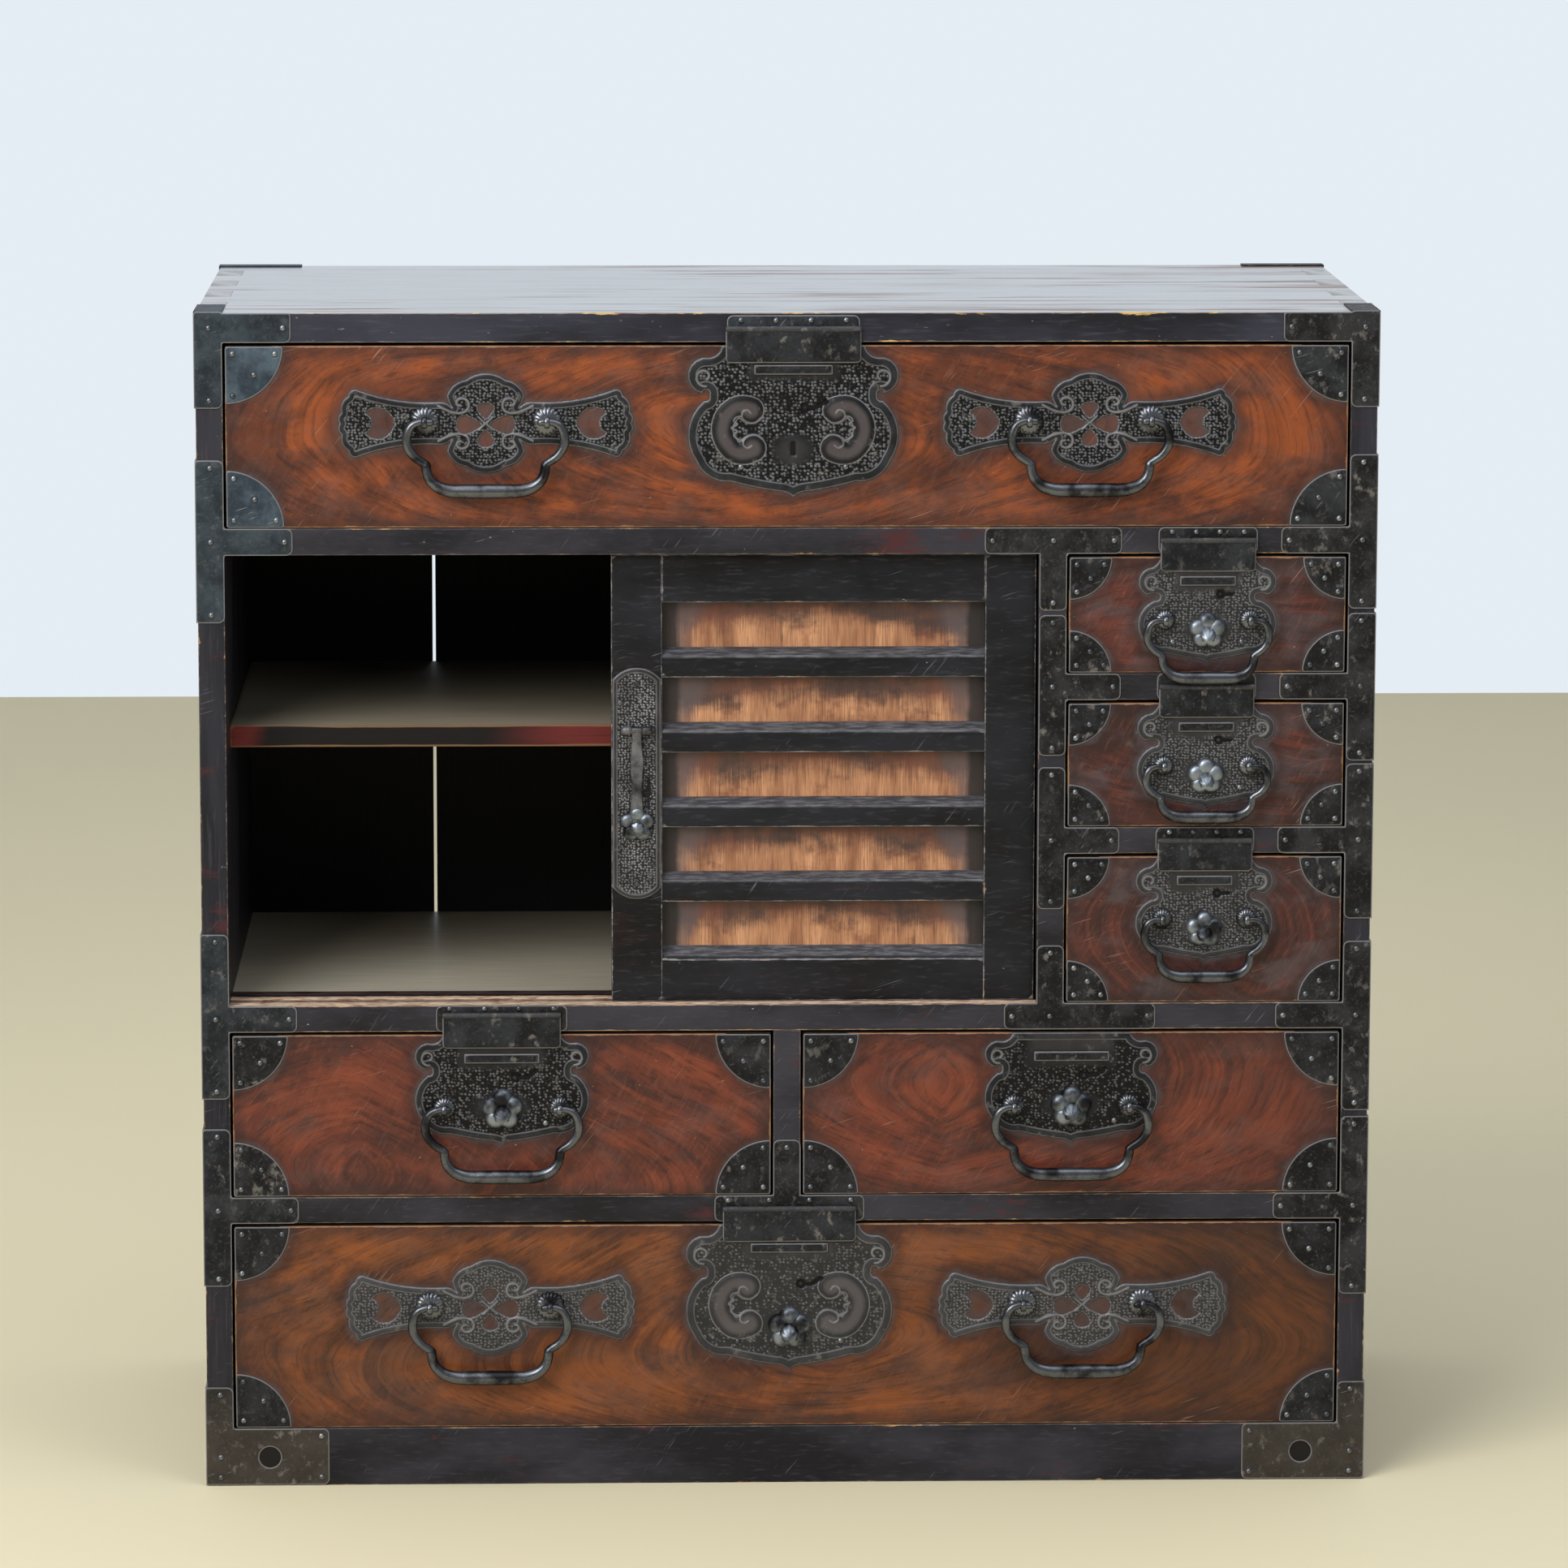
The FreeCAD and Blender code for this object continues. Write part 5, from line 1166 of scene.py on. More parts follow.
# Drawers. The outline of a lock plate runs down its right side in shares of its half width and height.
# For each kind of lock: the plate's size, the width of its bar, drops and sizes of knob, key and flap, the
# mortised case, half the spread of the posts, and the bail's half width, drop, thickness and stand-off.
broad_steps = (
    (0.72, 0.055, 0.80, 0.08), (1.0, 0.17, 0.865, 0.315), (0.83, 0.29, 0.80, 0.325),
    (0.805, 0.355, 0.85, 0.365), (1.0, 0.56, 0.925, 0.76), (0.81, 0.86, 0.60, 0.895),
    (0.36, 0.935, 0.13, 0.962), (0.05, 0.975, 0.0, 1.0),
)
small_steps = (
    (0.73, 0.06, 0.80, 0.10), (1.0, 0.22, 0.87, 0.36), (0.76, 0.345, 0.70, 0.355),
    (0.69, 0.385, 0.76, 0.41), (1.0, 0.60, 0.93, 0.78), (0.80, 0.88, 0.60, 0.905),
    (0.36, 0.94, 0.13, 0.965), (0.05, 0.975, 0.0, 1.0),
)
large = dict(
    size=(160.0, 116.0), steps=broad_steps, bar=60.0, knob_drop=82.0, petals=(8.5, 8.6),
    key=(9.0, 47.5, 35.0), flap=(103.0, 12.5, 15.5), case=(70.0, 27.0, 34.0), post=46.5, half=59.4,
    drop=52.5, thick=2.55, off=9.5, band=6.2, rose=11.0,
)
medium = dict(
    size=(134.0, 87.0), steps=broad_steps, bar=58.0, knob_drop=58.5, petals=(8.3, 8.2),
    key=(10.0, 34.0, 35.0), flap=(91.0, 15.5, 12.5), case=(62.0, 23.0, 21.0), post=44.5, half=58.6,
    drop=52.5, thick=2.45, off=9.5, band=5.4, rose=8.5,
)
small = dict(
    size=(106.0, 82.0), steps=small_steps, bar=43.0, knob_drop=57.0, petals=(7.3, 7.2),
    key=(10.0, 29.0, 0.0), flap=(73.0, 12.6, 13.4), case=(46.0, 22.0, 20.0), post=32.5, half=46.2,
    drop=44.0, thick=2.25, off=8.5, band=4.6, rose=7.7,
)
drawers = {
    "top_drawer": dict(lock=large, shift=4.0, corner=44.0, base=101.0, hasp="top_hasp", eye=57.5,
                       bails=("top_left_bail", "top_right_bail"), knob=None),
    "left_drawer": dict(lock=medium, shift=0.0, corner=43.0, base=101.0, hasp="left_drawer_hasp", eye=57.5,
                        bails=("left_drawer_bail",), knob="left_lock_knob"),
    "right_drawer": dict(lock=medium, shift=0.0, corner=43.0, base=0.0, hasp=None, eye=57.5,
                         bails=("right_drawer_bail",), knob="right_lock_knob"),
    "bottom_drawer": dict(lock=large, shift=2.0, corner=43.0, base=116.0, hasp="bottom_hasp", eye=63.5,
                          bails=("bottom_left_bail", "bottom_right_bail"), knob="bottom_lock_knob"),
}
for number in (1, 2, 3):
    drawers[f"small_drawer_{number}"] = dict(
        lock=small, shift=0.0, corner=33.0, base=76.0, hasp=f"small_hasp_{number}", eye=48.5,
        bails=(f"small_bail_{number}",), knob=f"small_lock_knob_{number}",
    )
more_drop = {"bottom_left_bail": 2.5, "small_bail_2": -5.0}
bay_gap = 2.5
handle_steps = (
    (0.075, 0.965, 0.135, 0.87), (0.205, 0.79, 0.262, 0.56), (0.25, 0.434, 0.228, 0.32),
    (0.256, 0.385, 0.30, 0.43), (0.60, 0.465, 0.86, 0.66), (0.905, 0.67, 0.93, 0.55),
    (0.975, 0.40, 0.978, 0.22), (1.0, 0.11, 0.99, 0.0),
)
handle_curl = [(-36, 13.4), (-30, 10.4), (-24.3, 8.4), (-18, 8.0), (-14, 10.2), (-12.8, 14.4),
               (-14.5, 18.0), (-18.5, 19.2), (-21.8, 17.2), (-21.6, 14.4), (-18.8, 13.6)]
scroll_body = [
    (-32.5, -49.3, 9.6), (-36.5, -47.2, 8.4), (-42.2, -46.6, 7.5), (-51.0, -53.6, 7.8), (-54.2, -63.0, 7.7),
    (-51.5, -73.4, 7.8), (-43.0, -82.0, 7.6), (-36.0, -81.6, 8.6), (-31.0, -78.6, 9.8),
]
scroll_lines = [
    [(-24.6, -55.2), (-29.0, -58.8), (-35.0, -58.4), (-39.2, -54.6), (-38.4, -50.4), (-34.6, -49.2),
     (-32.2, -51.8)],
    [(-23.0, -71.8), (-27.8, -68.4), (-33.4, -68.8), (-37.6, -72.0), (-38.0, -76.2), (-34.4, -78.2),
     (-31.4, -76.4)],
    [(-39.4, -54.0), (-43.4, -54.6), (-45.4, -57.4), (-42.6, -60.0), (-47.2, -62.8), (-42.6, -65.6),
     (-45.4, -68.4), (-42.2, -71.4), (-38.0, -73.0)],
]


def both_ways(lines, up=False):
    """Lines with their mirror images left and right, and above and below where up is set."""
    lines = [np.asarray(line, float) for line in lines]
    lines += [line * np.array([-1] + [1] * (line.shape[1] - 1)) for line in lines]
    if up:
        lines += [line * np.array([1, -1] + [1] * (line.shape[1] - 2)) for line in lines]
    return lines


def widened(line, half):
    """A line of places with the same half width at each of them."""
    line = smooth_line(np.asarray(line, float), 4 * len(line))
    return np.column_stack([line, np.full(len(line), half)])


def ear_curl(lock):
    """Spiral in the ear of a lock plate: the radius shrinks evenly as the angle grows."""
    half, tall = lock["size"][0] / 2, lock["size"][1]
    large_ear = lock["steps"] is broad_steps
    cx, cz, reach = (0.845, 0.205, 0.093) if large_ear else (0.80, 0.235, 0.12)
    turns = np.linspace(math.radians(-100), math.radians(235), 40)
    radius = half * reach * np.linspace(1.0, 0.34, 40)
    return np.column_stack([half * cx + radius * np.cos(turns), -tall * cz + radius * np.sin(turns),
                            np.full(40, 0.3)])


def relief(band, scroll=None, curl=None, bare=None, outer=None):
    """Height of an embossed plate before the wood: rounded at the rim, full on the band, lower on the
    ground, raised again on scrolls and along curls."""
    def height(x, z, rim):
        edge = outer(x, z) if outer else rim
        up = plate_thick * (0.45 + 0.55 * eased(rim, 0, 1.1))
        up = up + 0.30 * eased(rim, 0.4, 1.6) - 0.42 * eased(edge, band - 0.3, band + 0.9)
        if scroll:
            up = up + 0.95 * eased(-scroll(x, z), -0.6, 2.6)
        if curl:
            up = up + 0.40 * eased(-curl(x, z), -1.5, 0.2)
        if bare:
            up = up + 0.22 * eased(-bare(x, z), -1.5, 1.0)
        return up
    return height


def key_cut(x, z, turn):
    """Distance into a keyhole: a round hole with a tail to the right that turns upwards."""
    bend = math.radians(turn)
    tail = [(x, z, 1.35), (x + 9.0, z, 1.35)]
    if turn:
        tail.append((x + 9.0 + 8.5 * math.cos(bend), z + 8.5 * math.sin(bend), 1.35))
    slit = line_field([tail])
    return lambda px, pz: np.maximum(-slit(px, pz), 3.5 - np.hypot(px - x, pz - z))


def lock_outline(lock):
    """The right side of a lock plate, then its mirror image."""
    right = traced((0.68, 0.0), lock["steps"], lock["size"][0] / 2, -lock["size"][1])
    return np.concatenate([right, mirrored(right, -1, 1)])


def handle_outline():
    """A quarter of a handle's back plate, mirrored below and then to the left."""
    quarter = traced((0.0, 1.0), handle_steps, 112.0, 38.0)
    right = np.concatenate([quarter, mirrored(quarter, 1, -1)])
    return np.concatenate([right, mirrored(right, -1, 1)[:-1]])


def moon(sign):
    """Crescent opening outwards: the inner circle's arc out of reach of the bite, then the bite's arc.
    The circle is drawn to a slight point on the side of the flower."""
    c, r, b, q = 0.735 * 112, 12.4, 94.0, 8.0
    gap = b - c
    at = (gap * gap + r * r - q * q) / (2 * gap)
    wide = math.acos(at / r)
    bitten = math.acos((gap - at) / q)
    outer = np.linspace(wide, 2 * math.pi - wide, 30)
    inner = np.linspace(math.pi + bitten, math.pi - bitten, 14)[1:-1]
    reach = r * (0.94 + 0.10 * np.exp(-((outer - math.pi) / 0.35) ** 2))
    line = np.concatenate([np.stack([c + reach * np.cos(outer), reach * np.sin(outer)], -1),
                           np.stack([b + q * np.cos(inner), q * np.sin(inner)], -1)])
    return line * np.array([sign, 1])


def petal_hole(x, z, long, wide, turn):
    """Leaf outline: an ellipse whose width shrinks with the cosine towards the flower's middle."""
    turns = full_turn(30)
    out = long * np.cos(turns)
    side = wide * np.sin(turns) * (0.86 + 0.50 * np.cos(turns))
    c, s = math.cos(math.radians(turn)), math.sin(math.radians(turn))
    return np.stack([x + out * c - side * s, z + out * s + side * c], -1)


handle_loop = handle_outline()
lobes = [petal_hole(12.6, -1.2, 9.2, 7.0, 0), petal_hole(-12.6, -1.2, 9.2, 7.0, 180),
         petal_hole(0.0, 9.4, 5.6, 6.2, 90), petal_hole(0.0, -11.8, 6.2, 6.0, 270)]
handle_field = outline_field([handle_loop] + lobes + [moon(-1), moon(1)])
handle_outer = outline_field([handle_loop])
cross = [(0.6, 0.2, 0.2), (5.6, 5.0, 0.2)]
handle_curls = line_field(both_ways([widened(handle_curl, 0.35), cross], True))


def nowhere(x, z):
    """The mark of a plate that lacks what the mark measures."""
    return np.full(np.shape(x), far_mark)


handle_shape = cut_sheet(
    handle_field, (-112, 112, -38, 38), 1.05, face_y, relief(4.6, curl=handle_curls, outer=handle_outer),
    {"band": handle_outer, "curl": handle_curls, "scroll": nowhere, "bare": nowhere},
)


def lock_shape(lock, scrolled):
    """Embossed lock plate with its top edge at zero height and its middle at zero width, and the
    distance inside its outline."""
    half, tall = lock["size"][0] / 2, lock["size"][1]
    outer = outline_field([lock_outline(lock)])
    key_x, key_drop, turn = lock["key"]
    key = key_cut(key_x, -key_drop, turn)
    slot = box_field(-1.8, 1.8, -lock["knob_drop"] - 2.1, -lock["knob_drop"] + 8.9)
    curls = [ear_curl(lock)]
    scroll = nowhere
    if scrolled:
        body = smooth_line(np.asarray(scroll_body), 64)
        scroll = line_field(both_ways([body]))
        curls += [widened(line, 0.15) for line in scroll_lines]
    curl = line_field(both_ways(curls))
    bar = box_field(-lock["bar"] / 2 - 3, lock["bar"] / 2 + 3, -24.5, 2.0, 3.0)
    wide = 13.0 if scrolled else 0.26 * half
    tall_patch = 11.0 if scrolled else 9.0
    patch_z = -lock["knob_drop"] + 2.0

    def bare(x, z):
        patch = np.hypot(x / wide, (z - patch_z) / tall_patch)
        return np.minimum((patch - 1) * tall_patch, -bar(x, z))

    def field(x, z):
        return np.minimum(np.minimum(outer(x, z), -key(x, z)), -slot(x, z))

    marks = {"band": outer, "curl": curl, "scroll": scroll, "bare": bare}
    height = relief(lock["band"], None if scroll is nowhere else scroll, curl, bare, outer)
    return cut_sheet(field, (-half, half, -tall, 0), 1.05, face_y, height, marks), outer


lock_shapes = {id(lock): lock_shape(lock, lock is large) for lock in (large, medium, small)}


def eye_post(lock):
    """Fluted rosette, a neck and a ring round the bail, with the ring's axis along X."""
    off, thick = lock["off"], lock["thick"]
    steps = [(1.0, 0.0), (0.98, 0.7), (0.88, 1.9), (0.70, 2.9), (0.46, 3.4), (0.28, 3.6)]
    rosette = turned([(lock["rose"] * reach, up) for reach, up in steps], 72, 0.12, 18)
    neck = turned([(3.2, 3.0), (2.3, 4.2), (2.2, off - thick - 1.2)], 14)
    around, about = 22, 12
    spin = full_turn(around)[:, None]
    roll = full_turn(about)[None, :]
    reach = thick + 1.15 + np.cos(roll)
    ring = np.stack([np.broadcast_to(2.1 * np.sin(roll), (around, about)), -off + reach * np.cos(spin),
                     reach * np.sin(spin)], -1)
    return joined([rosette, neck, Shape(ring, [wrapped_faces(around, about)])])


def wrapped_faces(rows, columns):
    """Quads of a grid that closes on itself both ways, turned outwards for a ring."""
    row = np.arange(rows)[:, None]
    column = np.arange(columns)[None, :]
    down = (row + 1) % rows
    after = (column + 1) % columns
    quads = [row * columns + column, down * columns + column, down * columns + after, row * columns + after]
    return np.stack(quads, -1).reshape(-1, 4)


# One half of a bail above and below its cusp: shares of the half width and the drop, then of the thickness
shoulder = [(0.70, 0.0, 1.0), (0.84, -0.005, 1.04), (0.945, 0.045, 1.26), (1.005, 0.19, 1.42),
            (1.0, 0.34, 1.42), (0.915, 0.49, 1.36), (0.775, 0.60, 1.28)]
lower = [(0.765, 0.612, 1.50), (0.757, 0.70, 1.48), (0.715, 0.83, 1.62), (0.62, 0.93, 1.82),
         (0.485, 0.985, 2.02), (0.25, 1.0, 2.2), (0.0, 1.0, 2.28)]


def bail_shape(lock, x, y, z, drop):
    """Hanging handle: two smooth curves on each side that meet at a cusp, thin above and thick below."""
    scale = np.array([lock["half"], -drop, 1.0])
    right = np.concatenate([smooth_line(shoulder * scale, 26), smooth_line(lower * scale, 30)])
    whole = np.concatenate([right, right[::-1][1:] * np.array([-1, 1, 1])])
    path = np.column_stack([x + whole[:, 0], np.full(len(whole), y), z + whole[:, 1]])
    return tube(path, whole[:, 2] * lock["thick"], sides=18)


def petal_flower(ring, size, count=5, tall=0.7):
    """Petals round a centre, each a dome with a flattened crown, creased on the side of the centre."""
    shapes = []
    for index in range(count):
        turn = math.radians(90 + 360 * index / count)
        rise = np.linspace(0, math.pi / 2 * 0.96, 9)[:, None]
        spin = full_turn(22)[None, :]
        crease = 1 - 0.16 * np.exp(-((spin - np.pi) / 0.5) ** 2) * np.cos(rise)
        out = size * np.cos(rise) ** 0.7 * np.cos(spin) * crease
        side = size * np.cos(rise) ** 0.7 * np.sin(spin)
        up = size * tall * np.sin(rise) * np.ones_like(spin)
        px = (ring + out) * math.cos(turn) - side * math.sin(turn)
        pz = (ring + out) * math.sin(turn) + side * math.cos(turn)
        shapes.append(skin(np.stack([px, -up, pz], -1)))
    return shapes


def knob_shape(lock):
    """Plum flower with a ribbed ball that droops from its middle, on a shank that slides in the slot."""
    ring, size = lock["petals"]
    steps = [(0.66, 0.0), (0.80, 2.2), (0.78, 4.8), (0.60, 7.2), (0.30, 8.6), (0.08, 9.0)]
    ball = turned([(reach * size, up) for reach, up in steps], 40, 0.16, 8)
    tilt = math.radians(24)
    y, z = ball.points[:, 1].copy(), ball.points[:, 2].copy()
    ball.points[:, 1] = y * math.cos(tilt) + z * math.sin(tilt) * 0.6 - size * 0.5
    ball.points[:, 2] = z * math.cos(tilt) + y * math.sin(tilt) - size * 0.16
    shank = board((-1.3, 0.0, -1.5), (1.3, 11.0, 1.5), 0.3, 8.0)
    shank.marks = {}
    return joined(petal_flower(ring, size) + [ball, shank])


def flap_shape(lock, x, bay_top):
    """Hasp flap: a slightly bowed leaf that hangs from a rolled barrel with two joints in it."""
    wide, up, down = lock["flap"]
    half, barrel_radius = wide / 2, 2.3
    axis_y, axis_z = front_y - iron_thick - 0.4 - barrel_radius, bay_top + up - barrel_radius
    span = (x - half, x + half, bay_top - down, axis_z)

    def height(px, pz, rim):
        return 2.0 * (0.55 + 0.45 * eased(rim, 0, 1.0)) + 0.15 * (1 - ((px - x) / half) ** 2)

    leaf = cut_sheet(box_field(*span, 3.0, "bl br"), span, 1.5, axis_y + 1.0, height, {})
    along = np.linspace(-half, half, 60)
    seams = np.minimum(np.abs(np.abs(along) - half * 0.36), half - np.abs(along))
    radii = barrel_radius - 0.55 * np.exp(-(seams / 0.8) ** 2)
    barrel = tube(level_path(x + along, axis_y, axis_z), radii, sides=18, dome=False)
    # The barrel lies near the rim mark, so it takes a little of the pale edge line: a painted highlight on
    # the roll.
    barrel.marks = {"rim": np.full(len(barrel.points), 0.9)}
    return joined([leaf, barrel])


# Iron and wood of each drawer
plate_paints = {
    "top_drawer": plate_iron("top_plate_iron", 6.2, 1.0, tone(116, 119, 126)),
    "bottom_drawer": plate_iron("bottom_plate_iron", 6.2, 7.0, tone(104, 100, 98), lift=0.16),
    "left_drawer": plate_iron("left_plate_iron", 5.4, 13.0, tone(104, 102, 102), pebble_size=2.7),
    "right_drawer": plate_iron("right_plate_iron", 5.4, 19.0, tone(110, 108, 108), pebble_size=2.7),
    "small": plate_iron("small_plate_iron", 4.6, 25.0, tone(120, 123, 128), pebble_size=2.5, lift=0.14),
}
handle_paints = {
    "top_drawer": plate_iron("top_handle_iron", 4.6, 31.0, tone(116, 119, 126), True, 2.7),
    "bottom_drawer": plate_iron("bottom_handle_iron", 4.6, 37.0, tone(104, 100, 98), True, 2.7, 0.22),
}
# The top drawer's corner plates and the frame's plates carry the painted blue reflection.
mount_iron = iron("corner_iron", tone(20, 21, 24), tone(50, 52, 56), 0.6, 3.0, blue=1.4)
low_mount_iron = iron("low_corner_iron", tone(18, 18, 20), tone(44, 44, 48), 0.7, 4.0)
frame_iron = iron("frame_iron", tone(20, 20, 22), tone(48, 48, 51), 0.7, 9.0, blue=1.0)
flap_iron = iron("flap_iron", tone(22, 23, 26), tone(46, 48, 53), 0.65, 15.0)
bright_nails = iron("nail_iron", tone(80, 84, 90), tone(150, 154, 160), 0.1, 21.0, 0.24, 0.9, False)
bail_iron = polished_iron("bail_iron", 2.0)
knob_iron = polished_iron("knob_iron", 6.0, (142, 150, 160), 0.25, 0.30)
pull_iron = iron("pull_iron", tone(46, 46, 49), tone(124, 124, 129), 0.6, 27.0, 0.34, 0.6, False)
# Lock case in painted shade: dull black, without shine.
case_shade = shade_black("lock_case_shade")
post_iron = polished_iron("post_iron", 11.0, (112, 115, 121))
wide_reds = (tone(42, 24, 20), tone(98, 52, 35), tone(150, 76, 36))
low_reds = (tone(36, 22, 16), tone(96, 54, 29), tone(136, 75, 35))
mid_reds = (tone(38, 21, 19), tone(88, 42, 32), tone(124, 60, 39))
small_reds = (tone(28, 18, 19), tone(66, 36, 34), tone(100, 50, 40))
brown_haze, grey_haze = tone(80, 73, 74), tone(84, 81, 86)
front_paints = {f"{name}_drawer": front_wood(f"{name}_front_wood", *facts) for name, *facts in (
    ("top", wide_reds, (-60.0, 822.0, 6.0, 0.22, 1.0), 2.0, brown_haze, 0.6),
    ("bottom", low_reds, (40.0, 112.0, 4.0, 0.26, 1.0), 14.0, brown_haze, 0.55, 0.0030),
    ("left", mid_reds, (-330.0, 250.0, 30.0, 0.30, 0.8), 26.0, brown_haze, 0.6),
    ("right", mid_reds, (120.0, 330.0, 40.0, 0.24, 0.8), 38.0, brown_haze, 0.6),
)}
small_lies = ((250.0, 600.0, 20.0, 0.30, 0.7), (400.0, 640.0, 20.0, 0.30, 0.7),
              (360.0, 440.0, 10.0, 0.60, 0.7))
for number, lie in enumerate(small_lies, 1):
    front_paints[f"small_drawer_{number}"] = front_wood(
        f"small_front_wood_{number}", small_reds, lie, 38.0 + 12.0 * number, grey_haze, 0.8)


def corner_plate(cx, cz, sx, sz, radius):
    """Quarter disc in a corner of a drawer front, 0.4 mm inside its edges."""
    def field(x, z):
        within = np.minimum((x - cx) * sx - 0.4, (z - cz) * sz - 0.4)
        return np.minimum(within, radius - np.hypot(x - cx, z - cz))

    def height(x, z, rim):
        return corner_thick * (0.55 + 0.45 * eased(rim, 0, 1.0))

    span = (*sorted((cx, cx + sx * radius)), *sorted((cz, cz + sz * radius)))
    return cut_sheet(field, span, 1.6, face_y, height, {})


for name, facts in drawers.items():
    lock = facts["lock"]
    low, high = span_of(f"{name}_front")
    x0, x1, z0, z1 = low[0], high[0], low[2], high[2]
    centre = (x0 + x1) / 2 + facts["shift"]
    iron_node = f"{name}_ironwork"
    plate, plate_outer = lock_shapes[id(lock)]
    paint = plate_paints.get(name, plate_paints["small"])
    wood_slot = "small_front_wood" if name.startswith("small") else "front_wood"
    eye_z = z1 - facts["eye"]
    handle_z = eye_z - 1.6
    skin_y = face_y - plate_thick
    two = len(facts["bails"]) == 2
    eye_xs = [(x0 + x1) / 2 - 230.0, (x0 + x1) / 2 + 230.0] if two else [centre]

    # The front, with each point's distance from the ironwork
    front = board((x0, face_y, z0), (x1, face_y + 18.0, z1), 1.2, 4.2)
    px, pz = front.points[:, 0], front.points[:, 2]
    near = -plate_outer(px - centre, pz - z1)
    for cx, cz in ((x0, z0), (x0, z1), (x1, z0), (x1, z1)):
        near = np.minimum(near, np.hypot(px - cx, pz - cz) - facts["corner"])
    for eye_x in eye_xs if two else ():
        within = handle_outer(px - eye_x, pz - handle_z)
        open_by = handle_field(px - eye_x, pz - handle_z)
        gap = np.where(within > 0, np.where(open_by > 0, -open_by, -open_by * 0.3), -within)
        near = np.minimum(near, gap)
    front.marks["iron"] = np.minimum(near, far_mark)
    piece(f"{name}_panel", front, front_paints[name], name, f"{name}_front", wood_slot)
    dressed(f"{name}_box", inner_wood)

    # Lock plate, bar, pin and case
    piece(f"{name}_lock_plate", plate.moved(centre, 0, z1), paint, name, iron_node, "black_iron", 50.0)
    key_x, key_drop, turn = lock["key"]
    bar_half = lock["bar"] / 2
    bar = board((-bar_half, -2.6, -22.1), (bar_half, 0.6, -14.5), 1.1, 20.0).moved(centre, skin_y, z1)
    pin = turned([(1.5, 0.0), (1.5, 1.3), (0.8, 1.9)], 12).moved(centre + key_x, face_y, z1 - key_drop)
    wide, drop, tall = lock["case"]
    case = board((centre - wide / 2, face_y + 0.02, z1 - drop - tall),
                 (centre + wide / 2, face_y + 8.5, z1 - drop), 0.5, 30.0)
    bar.marks = {"rim": bar.marks["arris"] * 0.8}
    case.marks = {}
    piece(f"{name}_lock_bar", joined([bar, pin]), flap_iron, name, iron_node, "black_iron")
    piece(f"{name}_lock_case", case, case_shade, name, iron_node, "black_iron")

    # Corner plates
    quarters, corner_nails = [], []
    radius = facts["corner"]
    for cx, sx in ((x0, 1), (x1, -1)):
        for cz, sz in ((z0, 1), (z1, -1)):
            quarters.append(corner_plate(cx, cz, sx, sz, radius))
            for a, b in ((6, 6), (radius - 6, 6), (6, radius - 6), (radius * 0.5, radius * 0.5)):
                corner_nails.append((cx + sx * a, cz + sz * b))
    # Only the top drawer's corner plates carry the painted blue reflection; the others are plain.
    corner_paint = mount_iron if name == "top_drawer" else low_mount_iron
    piece(f"{name}_corner_plates", joined(quarters), corner_paint, name, iron_node, "black_iron", 50.0)

    # Handle plates, posts and nails
    for side, eye_x in zip(("left", "right"), eye_xs if two else ()):
        piece(f"{name}_{side}_handle_plate", handle_shape.moved(eye_x, 0, handle_z),
              handle_paints[name], name, iron_node, "black_iron", 50.0)
    places = [(eye_x + sign * lock["post"], skin_y, eye_z) for eye_x in eye_xs for sign in (-1, 1)]
    piece(f"{name}_eye_posts", repeated(eye_post(lock), places), post_iron, name, iron_node, "worn_iron")
    lock_nails = [(centre + share * lock["size"][0], z1 - 0.80 * lock["size"][1]) for share in (-0.25, 0.25)]
    nails = joined([nail_heads(corner_nails, face_y - corner_thick), nail_heads(lock_nails, skin_y)])
    piece(f"{name}_nails", nails, bright_nails, name, iron_node, "worn_iron")

    # Bails, knob and flap
    for bail_name, eye_x in zip(facts["bails"], eye_xs):
        drop = lock["drop"] + more_drop.get(bail_name, 0.0)
        shape = bail_shape(lock, eye_x, skin_y - lock["off"], eye_z, drop)
        piece(f"{bail_name}_bar", shape, bail_iron, bail_name, bail_name, "worn_iron")
    if facts["knob"]:
        shape = knob_shape(lock).moved(centre, skin_y - 0.3, z1 - lock["knob_drop"])
        piece(f"{facts['knob']}_flower", shape, knob_iron, facts["knob"], facts["knob"], "worn_iron")
    if facts["hasp"]:
        bay_top = z1 + bay_gap
        piece(f"{facts['hasp']}_flap", flap_shape(lock, centre, bay_top), flap_iron, facts["hasp"],
              facts["hasp"], "black_iron", 50.0)
        half = facts["base"] / 2
        boxes = [(centre - half, centre + half, bay_top, bay_top + rail, strap_round, every_corner)]
        row = bay_top + rail - (rail - lock["flap"][1]) / 2
        reach = half - nail_inset - strap_round
        heads += [(centre + reach * share, row) for share in (-1.0, -0.33, 0.33, 1.0)]
        if name == "bottom_drawer":
            stem_top = lower_z + rail + strap_leg * 0.81
            boxes.append((-10.5, 10.5, lower_z, stem_top, strap_round, every_corner))
            heads.append((0.0, stem_top - nail_inset))
        plates.append(iron_sheet(boxes))

piece("frame_iron_plates", joined(plates), frame_iron, "carcass", "frame_ironwork", "black_iron", 50.0)
piece("frame_iron_nails", nail_heads(heads, front_y - iron_thick), bright_nails, "carcass",
      "frame_ironwork", "worn_iron")

# Sliding doors
door_x0, door_x1, door_z0, door_z1 = -135.0, 191.0, 379.9, 727.5
door_in0, door_in1 = door_x0 + 39.0, door_x1 - 39.0
right_front, left_front = -198.0, -175.0


